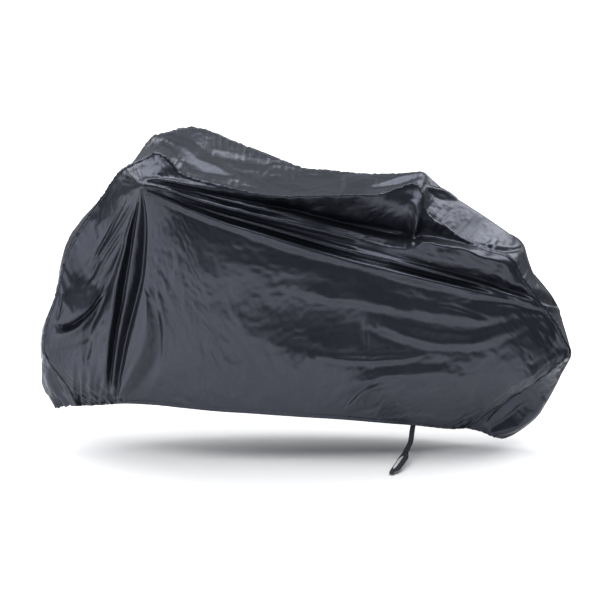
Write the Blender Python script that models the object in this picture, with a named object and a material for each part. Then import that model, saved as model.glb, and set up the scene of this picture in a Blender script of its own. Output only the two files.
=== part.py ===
# Fitted cover of coated polyester taffeta, draped and hollow.
# +X runs from the front end to the rear end, -Y is the near side, +Z is up.
# The cloth is laid out in millimetres above the ground and then moved to the mount.
# x runs along the cover. v runs up a plane that leans back by LEAN, and b is the half breadth,
# from the middle plane out to the cloth, so (x, v, b) is one point of the drape on either side.
import math

import bmesh
import bpy
import numpy as np
from mathutils import Vector
from mathutils.geometry import delaunay_2d_cdt

MM = 0.001
LEAN = math.radians(18.0)
CLOTH = 1.5                 # thickness of the modelled cloth
SEAM_GAP = 0.32             # left between two cloths at a sewn seam
MOUNT = (400.0, 0.0, 1000.0)  # point under the top that holds the cover up

NEAR_CELL = 42.0            # spacing of the free points of each panel
FAR_CELL = 58.0
FOLD_STEP = 46.0            # spacing of points along a fold
HEM_STEP = 30.0
STRIP_ACROSS = 8            # cells across the centre strip
HEM_WIDTH = 18.0            # folded hem
SECTION_STEPS = 2           # parts between two sections of the strip
SEAM_EASE = 1.25            # room for the cloths' inner corners where a seam turns
HEM_EXTRA = 0.9             # the folded hem is thicker by this much

WEBBING_THICK = 2.4
WEBBING_WIDTH = 22.0

NEAR_COLOUR = (0.030, 0.032, 0.038, 1.0)
STRIP_COLOUR = (0.040, 0.042, 0.050, 1.0)
WEBBING_COLOUR = (0.110, 0.115, 0.125, 1.0)

# Sections of the centre strip, from the front hem over the top to the rear hem.
# near x, v, b | crown x, v, b | far x, v, b (far side measured as the near one) | tent
# tent is 0 for a round section and 1 for two flat slopes.
SECTIONS = [
    (-780, 146, 48, -860, 138, 0, -780, 146, 48, 0.2),       # front hem
    (-812, 219, 70, -902, 214, 0, -812, 219, 70, 0.2),
    (-861, 289, 88, -903, 289, 0, -861, 289, 88, 0.1),
    (-886, 338, 98, -906, 338, 0, -886, 338, 98, 0.1),       # foremost
    (-886, 380, 105, -901, 387, 0, -886, 380, 105, 0.0),
    (-872, 443, 112, -889, 436, 0, -866, 443, 112, 0.0),
    (-846, 506, 120, -858, 499, 0, -838, 506, 120, 0.0),
    (-822, 579, 125, -836, 576, 0, -814, 579, 125, 0.0),
    (-798, 663, 130, -817, 665, 0, -785, 663, 130, 0.0),
    (-763, 733, 135, -790, 738, 0, -733, 733, 137, 0.0),
    (-721, 793, 140, -752, 790, 0, -682, 793, 145, 0.0),
    (-679, 849, 145, -704, 842, -5, -628, 846, 158, 0.1),
    (-644, 898, 150, -662, 889, -15, -582, 888, 172, 0.5),
    (-609, 945, 160, -614, 934, -35, -546, 930, 192, 0.6),   # front of the top
    (-567, 975, 178, -570, 985, -45, -524, 953, 202, 0.5),
    (-525, 992, 190, -528, 1022, -50, -504, 970, 206, 0.4),
    (-490, 1010, 196, -494, 1042, -45, -482, 974, 206, 0.3),  # near hump
    (-465, 1013, 198, -460, 1046, -40, -456, 979, 208, 0.2),
    (-427, 985, 200, -414, 1040, -30, -418, 986, 216, 0.1),
    (-398, 948, 200, -372, 1026, -20, -372, 986, 224, 0.0),
    (-325, 922, 198, -312, 1002, -10, -310, 974, 224, 0.0),
    (-266, 908, 195, -252, 984, 0, -248, 950, 221, 0.0),
    (-203, 891, 190, -196, 962, 0, -192, 930, 216, 0.0),
    (-126, 877, 185, -120, 942, 0, -116, 907, 208, 0.0),
    (-42, 870, 180, -40, 926, 0, -38, 881, 198, 0.0),
    (24, 870, 175, 25, 918, 0, 26, 867, 186, 0.0),
    (112, 873, 168, 112, 921, 0, 112, 869, 170, 0.0),
    (189, 875, 155, 189, 932, 0, 189, 872, 150, 0.1),
    (270, 877, 140, 270, 943, 0, 270, 876, 135, 0.2),
    (340, 900, 118, 342, 950, 0, 340, 890, 112, 0.3),
    (385, 916, 100, 392, 956, 0, 385, 900, 95, 0.4),
    (413, 908, 100, 430, 959, 0, 415, 895, 85, 0.6),          # rear peak
    (427, 877, 116, 455, 940, 0, 440, 865, 92, 0.7),
    (430, 830, 133, 495, 907, 0, 468, 825, 108, 0.8),
    (462, 790, 134, 532, 880, 0, 504, 788, 118, 0.8),
    (502, 771, 133, 574, 851, 0, 545, 768, 126, 0.8),
    (549, 737, 135, 622, 818, 0, 592, 734, 133, 0.8),
    (630, 698, 142, 684, 776, 0, 652, 696, 141, 0.7),
    (696, 679, 145, 740, 740, 0, 706, 677, 145, 0.6),
    (738, 655, 145, 778, 718, 0, 741, 654, 145, 0.4),        # rear shoulder
    (766, 604, 143, 800, 662, 0, 766, 604, 143, 0.3),
    (801, 558, 140, 822, 612, 0, 801, 558, 140, 0.3),
    (836, 509, 136, 864, 560, 0, 836, 509, 136, 0.3),
    (873, 466, 131, 905, 506, 0, 873, 466, 131, 0.3),
    (901, 424, 127, 925, 443, 0, 901, 424, 127, 0.3),
    (926, 378, 121, 943, 384, 0, 926, 378, 121, 0.3),
    (944, 338, 112, 959, 334, 0, 944, 338, 112, 0.3),        # rearmost
    (900, 289, 104, 936, 276, 0, 900, 289, 104, 0.2),
    (836, 236, 96, 908, 214, 0, 836, 236, 96, 0.2),
    (766, 187, 86, 880, 158, 0, 766, 187, 86, 0.2),
    (696, 142, 74, 844, 103, 0, 696, 142, 74, 0.2),
    (652, 104, 62, 794, 58, 0, 652, 104, 62, 0.2),
    (616, 62, 52, 730, 22, 0, 616, 62, 52, 0.2),             # rear hem
]

# Hem of a side panel, from the rear end to the front end: x, v, b
HEM = [
    (616, 62, 52),
    (588, 66, 62),
    (549, 64, 76),
    (497, 69, 95),
    (409, 80, 120),
    (304, 89, 140),
    (147, 103, 156),
    (7, 112, 165),
    (-161, 124, 165),
    (-290, 132, 156),
    (-413, 144, 140),
    (-483, 151, 125),
    (-553, 155, 108),
    (-605, 156, 95),
    (-651, 153, 80),
    (-710, 148, 62),
    (-780, 146, 48),
]

# Where the near panel bears on what it hides or hangs between: x, v, b
NEAR_REST = [
    (-505, 903, 262),       # the cloth round the pinch
    (-420, 800, 232),
    (-560, 700, 205),
    (-650, 640, 172),
    (-720, 480, 142),
    (-760, 300, 112),
    (-600, 400, 170),
    (-500, 300, 178),
    (-400, 600, 226),
    (-200, 700, 205),
    (-200, 450, 214),
    (-200, 250, 190),
    (0, 600, 196),
    (0, 350, 196),
    (200, 450, 190),
    (200, 250, 176),
    (400, 480, 186),
    (400, 260, 168),
    (560, 520, 176),
    (560, 300, 156),
    (700, 420, 162),
    (760, 320, 138),
    (100, 790, 140),        # slack under the top seam
    (260, 790, 118),
    (350, 770, 116),
    (412, 745, 152),
    (421, 790, 142),
    (520, 680, 170),
]
PINCH = (-505, 903, 66, 95)     # x, v, height of the cone over the cloth, its reach

# Folds of the near panel, one row each.
# name, height (minus is a groove), half width above or left, half width below or right,
# start fade, end fade, then its path as (x, v) points.
# The fades say how high the fold still is at its two ends, from 0 to 1.
NEAR_FOLDS = [
    ("top ridge", 14, 12, 24, 0.35, 0.1,
     [(-498, 912), (-413, 910), (-256, 889), (-80, 866)]),
    ("pocket head", -24, 24, 18, 0.1, 0.2,
     [(-480, 905), (-393, 894), (-290, 875), (-168, 852), (-63, 838), (7, 824)]),
    ("pocket", -50, 78, 24, 0.0, 0.7,
     [(-130, 846), (-20, 834), (112, 798), (217, 766), (304, 742), (372, 728)]),
    ("ridge one", 22, 14, 12, 0.5, 0.1,
     [(-490, 901), (-413, 887), (-255, 852), (-63, 810), (147, 761), (357, 716), (497, 706)]),
    ("groove one", -15, 10, 10, 0.5, 0.0,
     [(-465, 894), (-308, 859), (-168, 823), (42, 775), (210, 737)]),
    ("ridge two", 16, 14, 24, 0.5, 0.1,
     [(-480, 890), (-343, 852), (-168, 809), (7, 772), (182, 733), (357, 702), (532, 681), (690, 672)]),
    ("ridge three", 12, 14, 10, 0.5, 0.3,
     [(-448, 866), (-343, 825), (-168, 776), (7, 727), (182, 681), (287, 660), (444, 618), (602, 576),
      (740, 526)]),
    ("long hollow", -22, 24, 14, 0.0, 0.6,
     [(200, 680), (357, 650), (444, 632), (532, 614), (620, 593), (707, 569), (794, 544), (850, 520)]),
    ("groove three", -22, 12, 12, 0.4, 0.3,
     [(-490, 878), (-430, 856), (-343, 819), (-168, 761), (-28, 723), (112, 681), (217, 653),
      (357, 618), (497, 583), (620, 555), (740, 516)]),
    ("ridge four", 19, 12, 42, 0.3, 0.4,
     [(-455, 852), (-343, 803), (-168, 744), (7, 692), (182, 649), (357, 600), (532, 558), (707, 520),
      (850, 486)]),
    ("rear bulge", 22, 56, 40, 0.2, 0.5,
     [(230, 836), (310, 815), (380, 800)]),
    ("rear upright", 24, 14, 44, 0.6, 0.6,
     [(424, 846), (417, 826), (409, 796), (399, 750)]),
    ("front ridge", 14, 16, 18, 0.4, 0.1,
     [(-532, 873), (-560, 835), (-588, 793), (-623, 740), (-651, 705), (-680, 667)]),
    ("front groove", -11, 14, 16, 0.2, 0.1,
     [(-574, 866), (-605, 817), (-633, 765), (-665, 705), (-695, 650)]),
    ("swag a", 20, 16, 18, 0.4, 0.1,
     [(-532, 859), (-560, 800), (-584, 730), (-598, 677), (-616, 632), (-640, 583), (-665, 541),
      (-700, 500)]),
    ("swag hollow", -24, 16, 62, 0.0, 0.4,
     [(-655, 548), (-700, 492), (-742, 453), (-791, 430), (-824, 430)]),
    ("swag lip", 14, 24, 16, 0.0, 0.3,
     [(-690, 452), (-726, 418), (-776, 396), (-826, 390)]),
    ("groove b", -26, 14, 16, 0.4, 0.3,
     [(-528, 859), (-553, 782), (-574, 712), (-591, 642), (-609, 555), (-619, 450), (-633, 362),
      (-647, 292), (-661, 205)]),
    ("ridge c", 15, 10, 10, 0.4, 0.2,
     [(-525, 863), (-539, 793), (-553, 730), (-567, 653), (-584, 572), (-598, 502), (-612, 443),
      (-626, 373), (-640, 303)]),
    ("groove d", -27, 22, 12, 0.4, 0.3,
     [(-518, 859), (-521, 782), (-532, 712), (-546, 642), (-563, 562), (-581, 492), (-598, 429),
      (-616, 362), (-633, 292), (-648, 222)]),
    ("ridge e", 24, 12, 36, 0.0, 0.3,
     [(-511, 530), (-508, 478), (-511, 422), (-528, 352), (-560, 282), (-599, 200)]),
    ("groove f", -11, 20, 10, 0.0, 0.3,
     [(-502, 520), (-488, 457), (-485, 397), (-503, 327), (-538, 257), (-578, 196)]),
    ("rear fold", 15, 40, 26, 0.4, 0.2,
     [(872, 430), (829, 338), (784, 285), (742, 233), (696, 180), (640, 128)]),
    ("rear hollow", -10, 30, 26, 0.2, 0.1,
     [(850, 450), (800, 380), (730, 300), (640, 190)]),
    ("hem fold", 16, 12, 54, 0.2, 0.1,
     [(164, 132), (192, 163), (227, 198), (280, 212), (329, 219)]),
    ("front pleat one", -14, 13, 13, 0.0, 0.5,
     [(-766, 303), (-771, 232), (-776, 180)]),
    ("front pleat two", -14, 13, 13, 0.0, 0.5,
     [(-735, 303), (-741, 232), (-747, 180)]),
    ("front pleat three", -13, 13, 13, 0.0, 0.5,
     [(-672, 275), (-696, 228), (-714, 180)]),
]

# The far panel hangs over the far peak.
FAR_REST = [
    (-378, 940, 276),
    (-430, 880, 268),
    (-320, 890, 268),
    (-560, 700, 205),
    (-650, 640, 172),
    (-720, 480, 142),
    (-760, 300, 112),
    (-600, 400, 170),
    (-400, 600, 226),
    (-200, 700, 212),
    (-200, 450, 210),
    (-200, 250, 190),
    (0, 600, 196),
    (0, 350, 192),
    (200, 650, 180),
    (200, 350, 184),
    (400, 560, 178),
    (400, 260, 164),
    (560, 450, 172),
    (700, 420, 158),
    (760, 320, 136),
    (260, 790, 140),
]
FAR_PEAK = (-378, 940, 36, 90)
FAR_FOLDS = [
    ("taut ridge", 20, 20, 26, 0.5, 0.2,
     [(-366, 936), (-250, 916), (-130, 888), (10, 862)]),
    ("front ridge", 16, 20, 24, 0.5, 0.1,
     [(-392, 934), (-480, 900), (-580, 850)]),
    ("swag one", 20, 24, 30, 0.4, 0.2,
     [(-390, 910), (-470, 740), (-560, 560), (-640, 380), (-690, 240)]),
    ("swag two", -18, 24, 26, 0.3, 0.2,
     [(-372, 905), (-400, 720), (-460, 520), (-540, 330), (-600, 200)]),
    ("sweep one", 18, 22, 30, 0.4, 0.1,
     [(-355, 920), (-160, 826), (80, 740), (360, 660), (640, 600)]),
    ("sweep two", -18, 24, 24, 0.3, 0.1,
     [(-360, 905), (-190, 780), (40, 670), (320, 570), (600, 500), (800, 470)]),
    ("rear fold", 14, 40, 24, 0.4, 0.2,
     [(876, 432), (796, 310), (704, 196), (626, 118)]),
]

# Folds of the centre strip. The path is (section number, part across), -1 at the near seam,
# 0 at the crown and 1 at the far seam. The other columns are as for the panels.
STRIP_FOLDS = [
    ("diagonal ridge", 17, 55, 60, 0.4, 0.2, [(16.2, 0.7), (19.0, 0.25), (21.0, -0.3), (22.6, -0.75)]),
    ("far facet", -12, 50, 55, 0.2, 0.1, [(17.6, 0.85), (19.4, 0.6), (20.6, 0.35)]),
    ("hump hollow", -14, 45, 45, 0.2, 0.2, [(15.8, -0.6), (17.2, -0.5), (18.6, -0.6)]),
    ("peak flank", -14, 40, 40, 0.3, 0.1, [(31.6, -0.2), (33.2, -0.38), (34.8, -0.5)]),
    ("notch", -10, 45, 40, 0.6, 0.2, [(42.5, -0.85), (42.9, -0.4), (43.2, 0.1)]),
]

# Webbing tie: middle of the band, x, y, z from the hem inside to the loop's tip.
TIE_PATH = [
    (408, -112, 142),
    (404, -113, 122),
    (400, -118, 98),
    (394, -138, 68),
    (374, -178, 44),
    (350, -228, 28),
    (322, -286, 13),
]
TIE_SLOT_START = 0.50       # the band opens into its loop here, as a part of its length
TIE_SLOT_END = 0.90
TIE_SLOT_WIDTH = 11.0
TIE_LEG = 13.0


def clear_scene():
    for item in list(bpy.data.objects):
        bpy.data.objects.remove(item, do_unlink=True)


def make_material(name, colour, roughness, coat):
    material = bpy.data.materials.new(name)
    material.use_nodes = True
    shader = material.node_tree.nodes["Principled BSDF"]
    shader.inputs["Base Color"].default_value = colour
    shader.inputs["Roughness"].default_value = roughness
    shader.inputs["Coat Weight"].default_value = coat
    return material


def spline_rows(rows, steps):
    """Catmull-Rom through all columns at once, with steps parts between two rows."""
    rows = np.asarray(rows, float)
    padded = np.vstack([2 * rows[0] - rows[1], rows, 2 * rows[-1] - rows[-2]])
    found = []
    for index in range(1, len(padded) - 2):
        p0, p1, p2, p3 = padded[index - 1:index + 3]
        for part in range(steps):
            t = part / steps
            found.append(0.5 * (2 * p1 + (p2 - p0) * t
                                + (2 * p0 - 5 * p1 + 4 * p2 - p3) * t * t
                                + (3 * p1 - p0 - 3 * p2 + p3) * t ** 3))
    found.append(rows[-1])
    return np.array(found)


def even_steps(path, step):
    """Points along a path about step apart, its two ends kept."""
    path = np.asarray(path, float)
    dense = spline_rows(path, 12)
    lengths = np.concatenate([[0.0], np.cumsum(np.linalg.norm(np.diff(dense[:, :2], axis=0), axis=1))])
    count = max(2, int(round(lengths[-1] / step)) + 1)
    wanted = np.linspace(0.0, lengths[-1], count)
    return np.column_stack([np.interp(wanted, lengths, dense[:, k]) for k in range(dense.shape[1])])


def place(points, side):
    """(x, v, b) on the near (side -1) or far (side +1) half to metres from the mount."""
    points = np.asarray(points, float)
    x, v, b = points[:, 0], points[:, 1], points[:, 2]
    z = (v + b * math.sin(LEAN)) / math.cos(LEAN)
    spot = np.column_stack([x, side * b, z]) - np.array(MOUNT)
    return spot * MM


def thin_plate(centres, values):
    """A smooth sheet through given breadths: returns a function of (x, v)."""
    scaled = centres / 1000.0
    count = len(scaled)

    def kernel(distance):
        return distance ** 2 * np.log(np.maximum(distance, 1e-9))

    gaps = np.linalg.norm(scaled[:, None, :] - scaled[None, :, :], axis=2)
    system = np.zeros((count + 3, count + 3))
    system[:count, :count] = kernel(gaps) + np.eye(count) * 2e-5
    system[:count, count] = 1.0
    system[:count, count + 1:] = scaled
    system[count:, :count] = system[:count, count:].T
    weights = np.linalg.solve(system, np.concatenate([values, np.zeros(3)]))

    def sheet(points):
        spots = points / 1000.0
        gaps_here = np.linalg.norm(spots[:, None, :] - scaled[None, :, :], axis=2)
        flat = weights[count] + spots @ weights[count + 1:]
        return kernel(gaps_here) @ weights[:count] + flat

    return sheet


def fold_height(points, fold):
    """Height of one fold over the cloth at each (x, v) point."""
    name, height, above, below, fade_in, fade_out, path = fold
    line = even_steps(path, 25.0)
    starts, ends = line[:-1], line[1:]
    best = np.full(len(points), 1e9)
    signed = np.zeros(len(points))
    along = np.zeros(len(points))
    total = len(starts)
    for index in range(total):
        run = ends[index] - starts[index]
        length = np.linalg.norm(run)
        run = run / length
        away = points - starts[index]
        part = np.clip(away @ run, 0.0, length)
        nearest = starts[index] + part[:, None] * run
        offset = points - nearest
        distance = np.linalg.norm(offset, axis=1)
        turn = run[0] * away[:, 1] - run[1] * away[:, 0]
        closer = distance < best
        best = np.where(closer, distance, best)
        signed = np.where(closer, turn, signed)
        along = np.where(closer, (index + part / length) / total, along)
    width = np.where(signed > 0, above, below)
    narrow = 0.45 + 0.55 * np.clip(along / 0.35, 0.0, 1.0)
    across = np.clip(1.0 - best / (width * narrow), 0.0, 1.0)
    rounded = across * across * (3.0 - 2.0 * across)
    profile = 0.55 * across + 0.45 * rounded
    rise = np.clip(along / 0.22, 0.0, 1.0)
    fall = np.clip((1.0 - along) / 0.30, 0.0, 1.0)
    fade = (fade_in + (1.0 - fade_in) * rise) * (fade_out + (1.0 - fade_out) * fall)
    return height * profile * fade


def seam_fade(points, border):
    """0 on the panel's border, rising to 1 a little way in."""
    best = np.full(len(points), 1e9)
    for index in range(len(border)):
        start = border[index - 1, :2]
        run = border[index, :2] - start
        length = np.linalg.norm(run)
        if length < 1e-6:
            continue
        run = run / length
        part = np.clip((points - start) @ run, 0.0, length)
        nearest = start + part[:, None] * run
        best = np.minimum(best, np.linalg.norm(points - nearest, axis=1))
    return np.clip(best / 45.0, 0.0, 1.0), best


class Panel:
    """One side panel: its border, the points in it and its triangles."""

    def __init__(self, seam, hem, rest, peak, folds, cell, side):
        self.side = side
        self.seam_count = len(seam)
        self.border = np.vstack([seam, hem[1:-1]])
        sparse = np.vstack([seam[::2], hem[1:-1]])
        centres = np.vstack([sparse[:, :2], np.asarray(rest, float)[:, :2]])
        values = np.concatenate([sparse[:, 2], np.asarray(rest, float)[:, 2]])
        self.sheet = thin_plate(centres, values)
        self.peak = peak
        self.folds = folds
        self.lay_out(cell, hem)
        self.raise_cloth()

    def breadth(self, points):
        base = self.sheet(points)
        peak_x, peak_v, rise, reach = self.peak
        away = np.linalg.norm(points - np.array([peak_x, peak_v]), axis=1)
        cone = rise * np.exp(-away / reach * 1.6)
        fade, distance = seam_fade(points, self.border)
        folds = np.zeros(len(points))
        for fold in self.folds:
            folds = folds + fold_height(points, fold)
        return base + (cone + folds) * fade

    def lay_out(self, cell, hem):
        border = self.border[:, :2]
        points = [tuple(p) for p in border]
        edges = [(i, (i + 1) % len(border)) for i in range(len(border))]
        taken = [np.array(border)]

        def add_line(line):
            fade, distance = seam_fade(line, self.border)
            keep = (distance > 17.0) & self.inside(line)
            run = []
            for spot, kept in zip(line, keep):
                if not kept:
                    run = []
                    continue
                points.append(tuple(spot))
                if run:
                    edges.append((run[-1], len(points) - 1))
                run.append(len(points) - 1)
            taken.append(line[keep])

        hem_line = even_steps([(x, v + HEM_WIDTH) for x, v, b in hem[2:-2]], 44.0)
        add_line(hem_line)
        for fold in self.folds:
            name, height, above, below, fade_in, fade_out, path = fold
            ridge = even_steps(path, FOLD_STEP)
            tangent = np.gradient(ridge, axis=0)
            tangent = tangent / np.linalg.norm(tangent, axis=1)[:, None]
            left = np.column_stack([-tangent[:, 1], tangent[:, 0]])
            along = np.linspace(0.0, 1.0, len(ridge))
            narrow = (0.45 + 0.55 * np.clip(along / 0.35, 0.0, 1.0))[:, None]
            add_line(ridge)
            start = 1 if fade_in > 0.2 else 0
            for line in (ridge + left * above * narrow, ridge - left * below * narrow):
                add_line(line[start:])
        top = np.array([self.peak[:2]], float)
        points.append(tuple(top[0]))
        taken.append(top)
        taken_all = np.vstack(taken)
        low = border.min(axis=0)
        high = border.max(axis=0)
        rows = int((high[1] - low[1]) / (cell * 0.866)) + 2
        columns = int((high[0] - low[0]) / cell) + 2
        free = []
        for row in range(rows):
            for column in range(columns):
                x = low[0] + (column + 0.5 * (row % 2)) * cell
                free.append((x, low[1] + row * cell * 0.866))
        free = np.array(free)
        free = free[self.inside(free)]
        gaps = np.min(np.linalg.norm(free[:, None, :] - taken_all[None, :, :], axis=2), axis=1)
        free = free[gaps > cell * 0.52]
        points.extend([tuple(p) for p in free])
        merged = merge_close(np.array(points), edges, 7.0, len(border))
        flat_points, flat_edges = merged
        made = delaunay_2d_cdt([Vector(p) for p in flat_points], flat_edges, [], 1, 1e-6)
        self.flat = np.array([tuple(p) for p in made[0]])
        origin = made[3]
        self.faces = [tuple(face) for face in made[2]]
        self.border_index = [None] * len(border)
        for index, sources in enumerate(origin):
            for source in sources:
                if source < len(border):
                    self.border_index[source] = index

    def inside(self, points):
        border = self.border[:, :2]
        found = np.zeros(len(points), bool)
        for index in range(len(border)):
            x1, v1 = border[index - 1]
            x2, v2 = border[index]
            if abs(v2 - v1) < 1e-9:
                continue
            crosses = (points[:, 1] > v1) != (points[:, 1] > v2)
            where = x1 + (points[:, 1] - v1) / (v2 - v1) * (x2 - x1)
            found ^= crosses & (points[:, 0] < where)
        return found

    def raise_cloth(self):
        b = self.breadth(self.flat)
        for source, index in enumerate(self.border_index):
            b[index] = self.border[source, 2]
        self.outer = place(np.column_stack([self.flat, b]), self.side)
        wanted = self.side
        turned = []
        for a, b_index, c in self.faces:
            area = np.cross(self.flat[b_index] - self.flat[a], self.flat[c] - self.flat[a])
            if area * wanted > 0:
                turned.append((a, c, b_index))
            else:
                turned.append((a, b_index, c))
        self.faces = turned


def merge_close(points, edges, reach, fixed):
    """Joins points nearer than reach, so that no sliver is cut. The first fixed ones stay."""
    target = list(range(len(points)))
    kept = []
    for index in range(len(points)):
        if index < fixed:
            kept.append(index)
            continue
        others = points[kept]
        gap = np.linalg.norm(others - points[index], axis=1)
        closest = int(np.argmin(gap))
        if gap[closest] < reach:
            target[index] = kept[closest]
        else:
            kept.append(index)
    place_of = {old: new for new, old in enumerate(kept)}
    flat_edges = set()
    for a, b in edges:
        a, b = place_of[target[a]], place_of[target[b]]
        if a != b:
            flat_edges.add((min(a, b), max(a, b)))
    return points[kept], sorted(flat_edges)


def vertex_normals(points, faces):
    normals = np.zeros_like(points)
    for face in faces:
        a, b, c = points[face[0]], points[face[1]], points[face[2]]
        area = np.cross(b - a, c - a)
        for index in face:
            normals[index] += area
        if len(face) == 4:
            d = points[face[3]]
            area = np.cross(c - a, d - a)
            for index in (face[0], face[2], face[3]):
                normals[index] += area
    return normals / np.linalg.norm(normals, axis=1)[:, None]


def border_edges(faces):
    seen = {}
    for face in faces:
        for k in range(len(face)):
            a, b = face[k], face[(k + 1) % len(face)]
            seen[(a, b)] = True
    return [(a, b) for (a, b) in seen if (b, a) not in seen]


def build_shell(name, outer, normals, faces, thickness, material):
    """A closed cloth: outer skin, inner skin a thickness below it, and the rim."""
    inner = outer - normals * thickness[:, None]
    mesh = bpy.data.meshes.new(name)
    count = len(outer)
    all_points = np.vstack([outer, inner])
    all_faces = []
    for face in faces:
        all_faces.append(tuple(face))
        all_faces.append(tuple(count + index for index in reversed(face)))
    for a, b in border_edges(faces):
        all_faces.append((b, a, count + a, count + b))
    mesh.from_pydata([tuple(p) for p in all_points], [], all_faces)
    mesh.materials.append(material)
    solid = bpy.data.objects.new(name, mesh)
    bpy.context.collection.objects.link(solid)
    tidy = bmesh.new()
    tidy.from_mesh(mesh)
    bmesh.ops.triangulate(tidy, faces=tidy.faces[:])
    tidy.to_mesh(mesh)
    tidy.free()
    return solid


def inward_steps(points, normals, faces, edge_index, amount):
    """Draws the edge points back into their own cloth by amount, square to the edge."""
    neighbours = {index: set() for index in edge_index}
    edge_set = set(edge_index)
    for face in faces:
        for a in face:
            if a in neighbours:
                for b in face:
                    if b not in edge_set:
                        neighbours[a].add(b)
    moved = points.copy()
    total = len(edge_index)
    for order, index in enumerate(edge_index):
        before = points[edge_index[max(order - 1, 0)]]
        after = points[edge_index[min(order + 1, total - 1)]]
        tangent = after - before
        tangent = tangent / np.linalg.norm(tangent)
        into = np.cross(normals[index], tangent)
        others = neighbours[index]
        if others:
            middle = np.mean([points[other] for other in others], axis=0)
            if np.dot(middle - points[index], into) < 0:
                into = -into
        into = into / np.linalg.norm(into)
        moved[index] = points[index] + into * amount[order]
    return moved


def strip_grid(sections):
    """The centre strip: one row of points from seam to seam for each section."""
    near = place(sections[:, 0:3], -1)
    crown = place(sections[:, 3:6], -1)
    far = place(sections[:, 6:9], 1)
    tent = sections[:, 9]
    rows = []
    for index in range(len(sections)):
        knee = 2.0 * crown[index] - 0.5 * (near[index] + far[index])
        row = []
        for cell in range(STRIP_ACROSS + 1):
            t = cell / STRIP_ACROSS
            arc = (1 - t) ** 2 * near[index] + 2 * t * (1 - t) * knee + t * t * far[index]
            if t < 0.5:
                straight = near[index] + (crown[index] - near[index]) * 2 * t
            else:
                straight = crown[index] + (far[index] - crown[index]) * (2 * t - 1)
            row.append(arc + (straight - arc) * tent[index])
        rows.append(row)
    return np.array(rows)


def fold_strip(grid):
    """Raises the strip's folds square to its surface, none at its two seams."""
    rows, across = grid.shape[:2]
    crown = grid[:, across // 2] / MM
    steps = np.linalg.norm(np.diff(crown, axis=0), axis=1)
    along = np.concatenate([[0.0], np.cumsum(steps)])
    half_width = np.linalg.norm(grid[:, 0] - grid[:, -1], axis=1) / MM / 2
    side = np.linspace(-1.0, 1.0, across)
    flat = np.zeros((rows, across, 2))
    flat[:, :, 0] = along[:, None]
    flat[:, :, 1] = half_width[:, None] * side[None, :]
    numbers = np.arange(rows) / SECTION_STEPS
    height = np.zeros(rows * across)
    for name, rise, above, below, fade_in, fade_out, path in STRIP_FOLDS:
        laid = [(np.interp(number, numbers, along), part * np.interp(number, numbers, half_width))
                for number, part in path]
        fold = (name, rise, above, below, fade_in, fade_out, laid)
        height = height + fold_height(flat.reshape(-1, 2), fold)
    height = height.reshape(rows, across) * np.clip((1.0 - np.abs(side)) / 0.2, 0.0, 1.0)
    ahead = np.gradient(grid, axis=0)
    sideways = np.gradient(grid, axis=1)
    out = np.cross(ahead, sideways)
    out = out / np.linalg.norm(out, axis=2)[:, :, None]
    return grid + out * height[:, :, None] * MM


def build_cover():
    sections = spline_rows(SECTIONS, SECTION_STEPS)
    near_seam = sections[:, 0:3]
    far_seam = sections[:, 6:9]
    hem = even_steps(HEM, HEM_STEP)
    near = Panel(near_seam, hem, NEAR_REST, PINCH, NEAR_FOLDS, NEAR_CELL, -1)
    far = Panel(far_seam, hem, FAR_REST, FAR_PEAK, FAR_FOLDS, FAR_CELL, 1)

    grid = fold_strip(strip_grid(sections))
    rows, across = grid.shape[:2]
    strip_points = grid.reshape(-1, 3)
    strip_faces = []
    for row in range(rows - 1):
        for cell in range(across - 1):
            a = row * across + cell
            b, c, d = a + 1, a + across + 1, a + across
            if (cell < across // 2) == (row < rows // 4 or row > rows * 3 // 4):
                strip_faces.extend([(a, b, d), (b, c, d)])
            else:
                strip_faces.extend([(a, b, c), (a, c, d)])
    strip_normals = vertex_normals(strip_points, strip_faces)
    if strip_normals[(rows // 2) * across + across // 2][2] < 0:
        strip_faces = [tuple(reversed(face)) for face in strip_faces]
        strip_normals = -strip_normals
    near_edge = [row * across for row in range(rows)]
    far_edge = [row * across + across - 1 for row in range(rows)]

    thickness = CLOTH * MM
    materials = {
        "near": make_material("coated_taffeta_near", NEAR_COLOUR, 0.38, 0.1),
        "far": make_material("coated_taffeta_far", NEAR_COLOUR, 0.38, 0.1),
        "strip": make_material("coated_taffeta_strip", STRIP_COLOUR, 0.38, 0.1),
    }
    for panel, edge, name in ((near, near_edge, "near"), (far, far_edge, "far")):
        normals = vertex_normals(panel.outer, panel.faces)
        seam_index = [panel.border_index[k] for k in range(panel.seam_count)]
        amounts = []
        for row, index in enumerate(seam_index):
            between = float(np.clip(np.dot(normals[index], strip_normals[edge[row]]), -0.6, 1.0))
            half = math.acos(between) / 2.0
            amounts.append(SEAM_GAP / 2 * MM + thickness * math.tan(half) * SEAM_EASE)
        outer = inward_steps(panel.outer, normals, panel.faces, seam_index, amounts)
        strip_points = inward_steps(strip_points, strip_normals, strip_faces, edge, amounts)
        heights = np.full(len(outer), thickness)
        for source in range(panel.seam_count, len(panel.border)):
            heights[panel.border_index[source]] += HEM_EXTRA * MM
        build_shell("side_panel_" + name, outer, normals, panel.faces, heights, materials[name])
    heights = np.full(len(strip_points), thickness)
    build_shell("centre_strip", strip_points, strip_normals, strip_faces, heights,
                materials["strip"])
    return near


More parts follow.
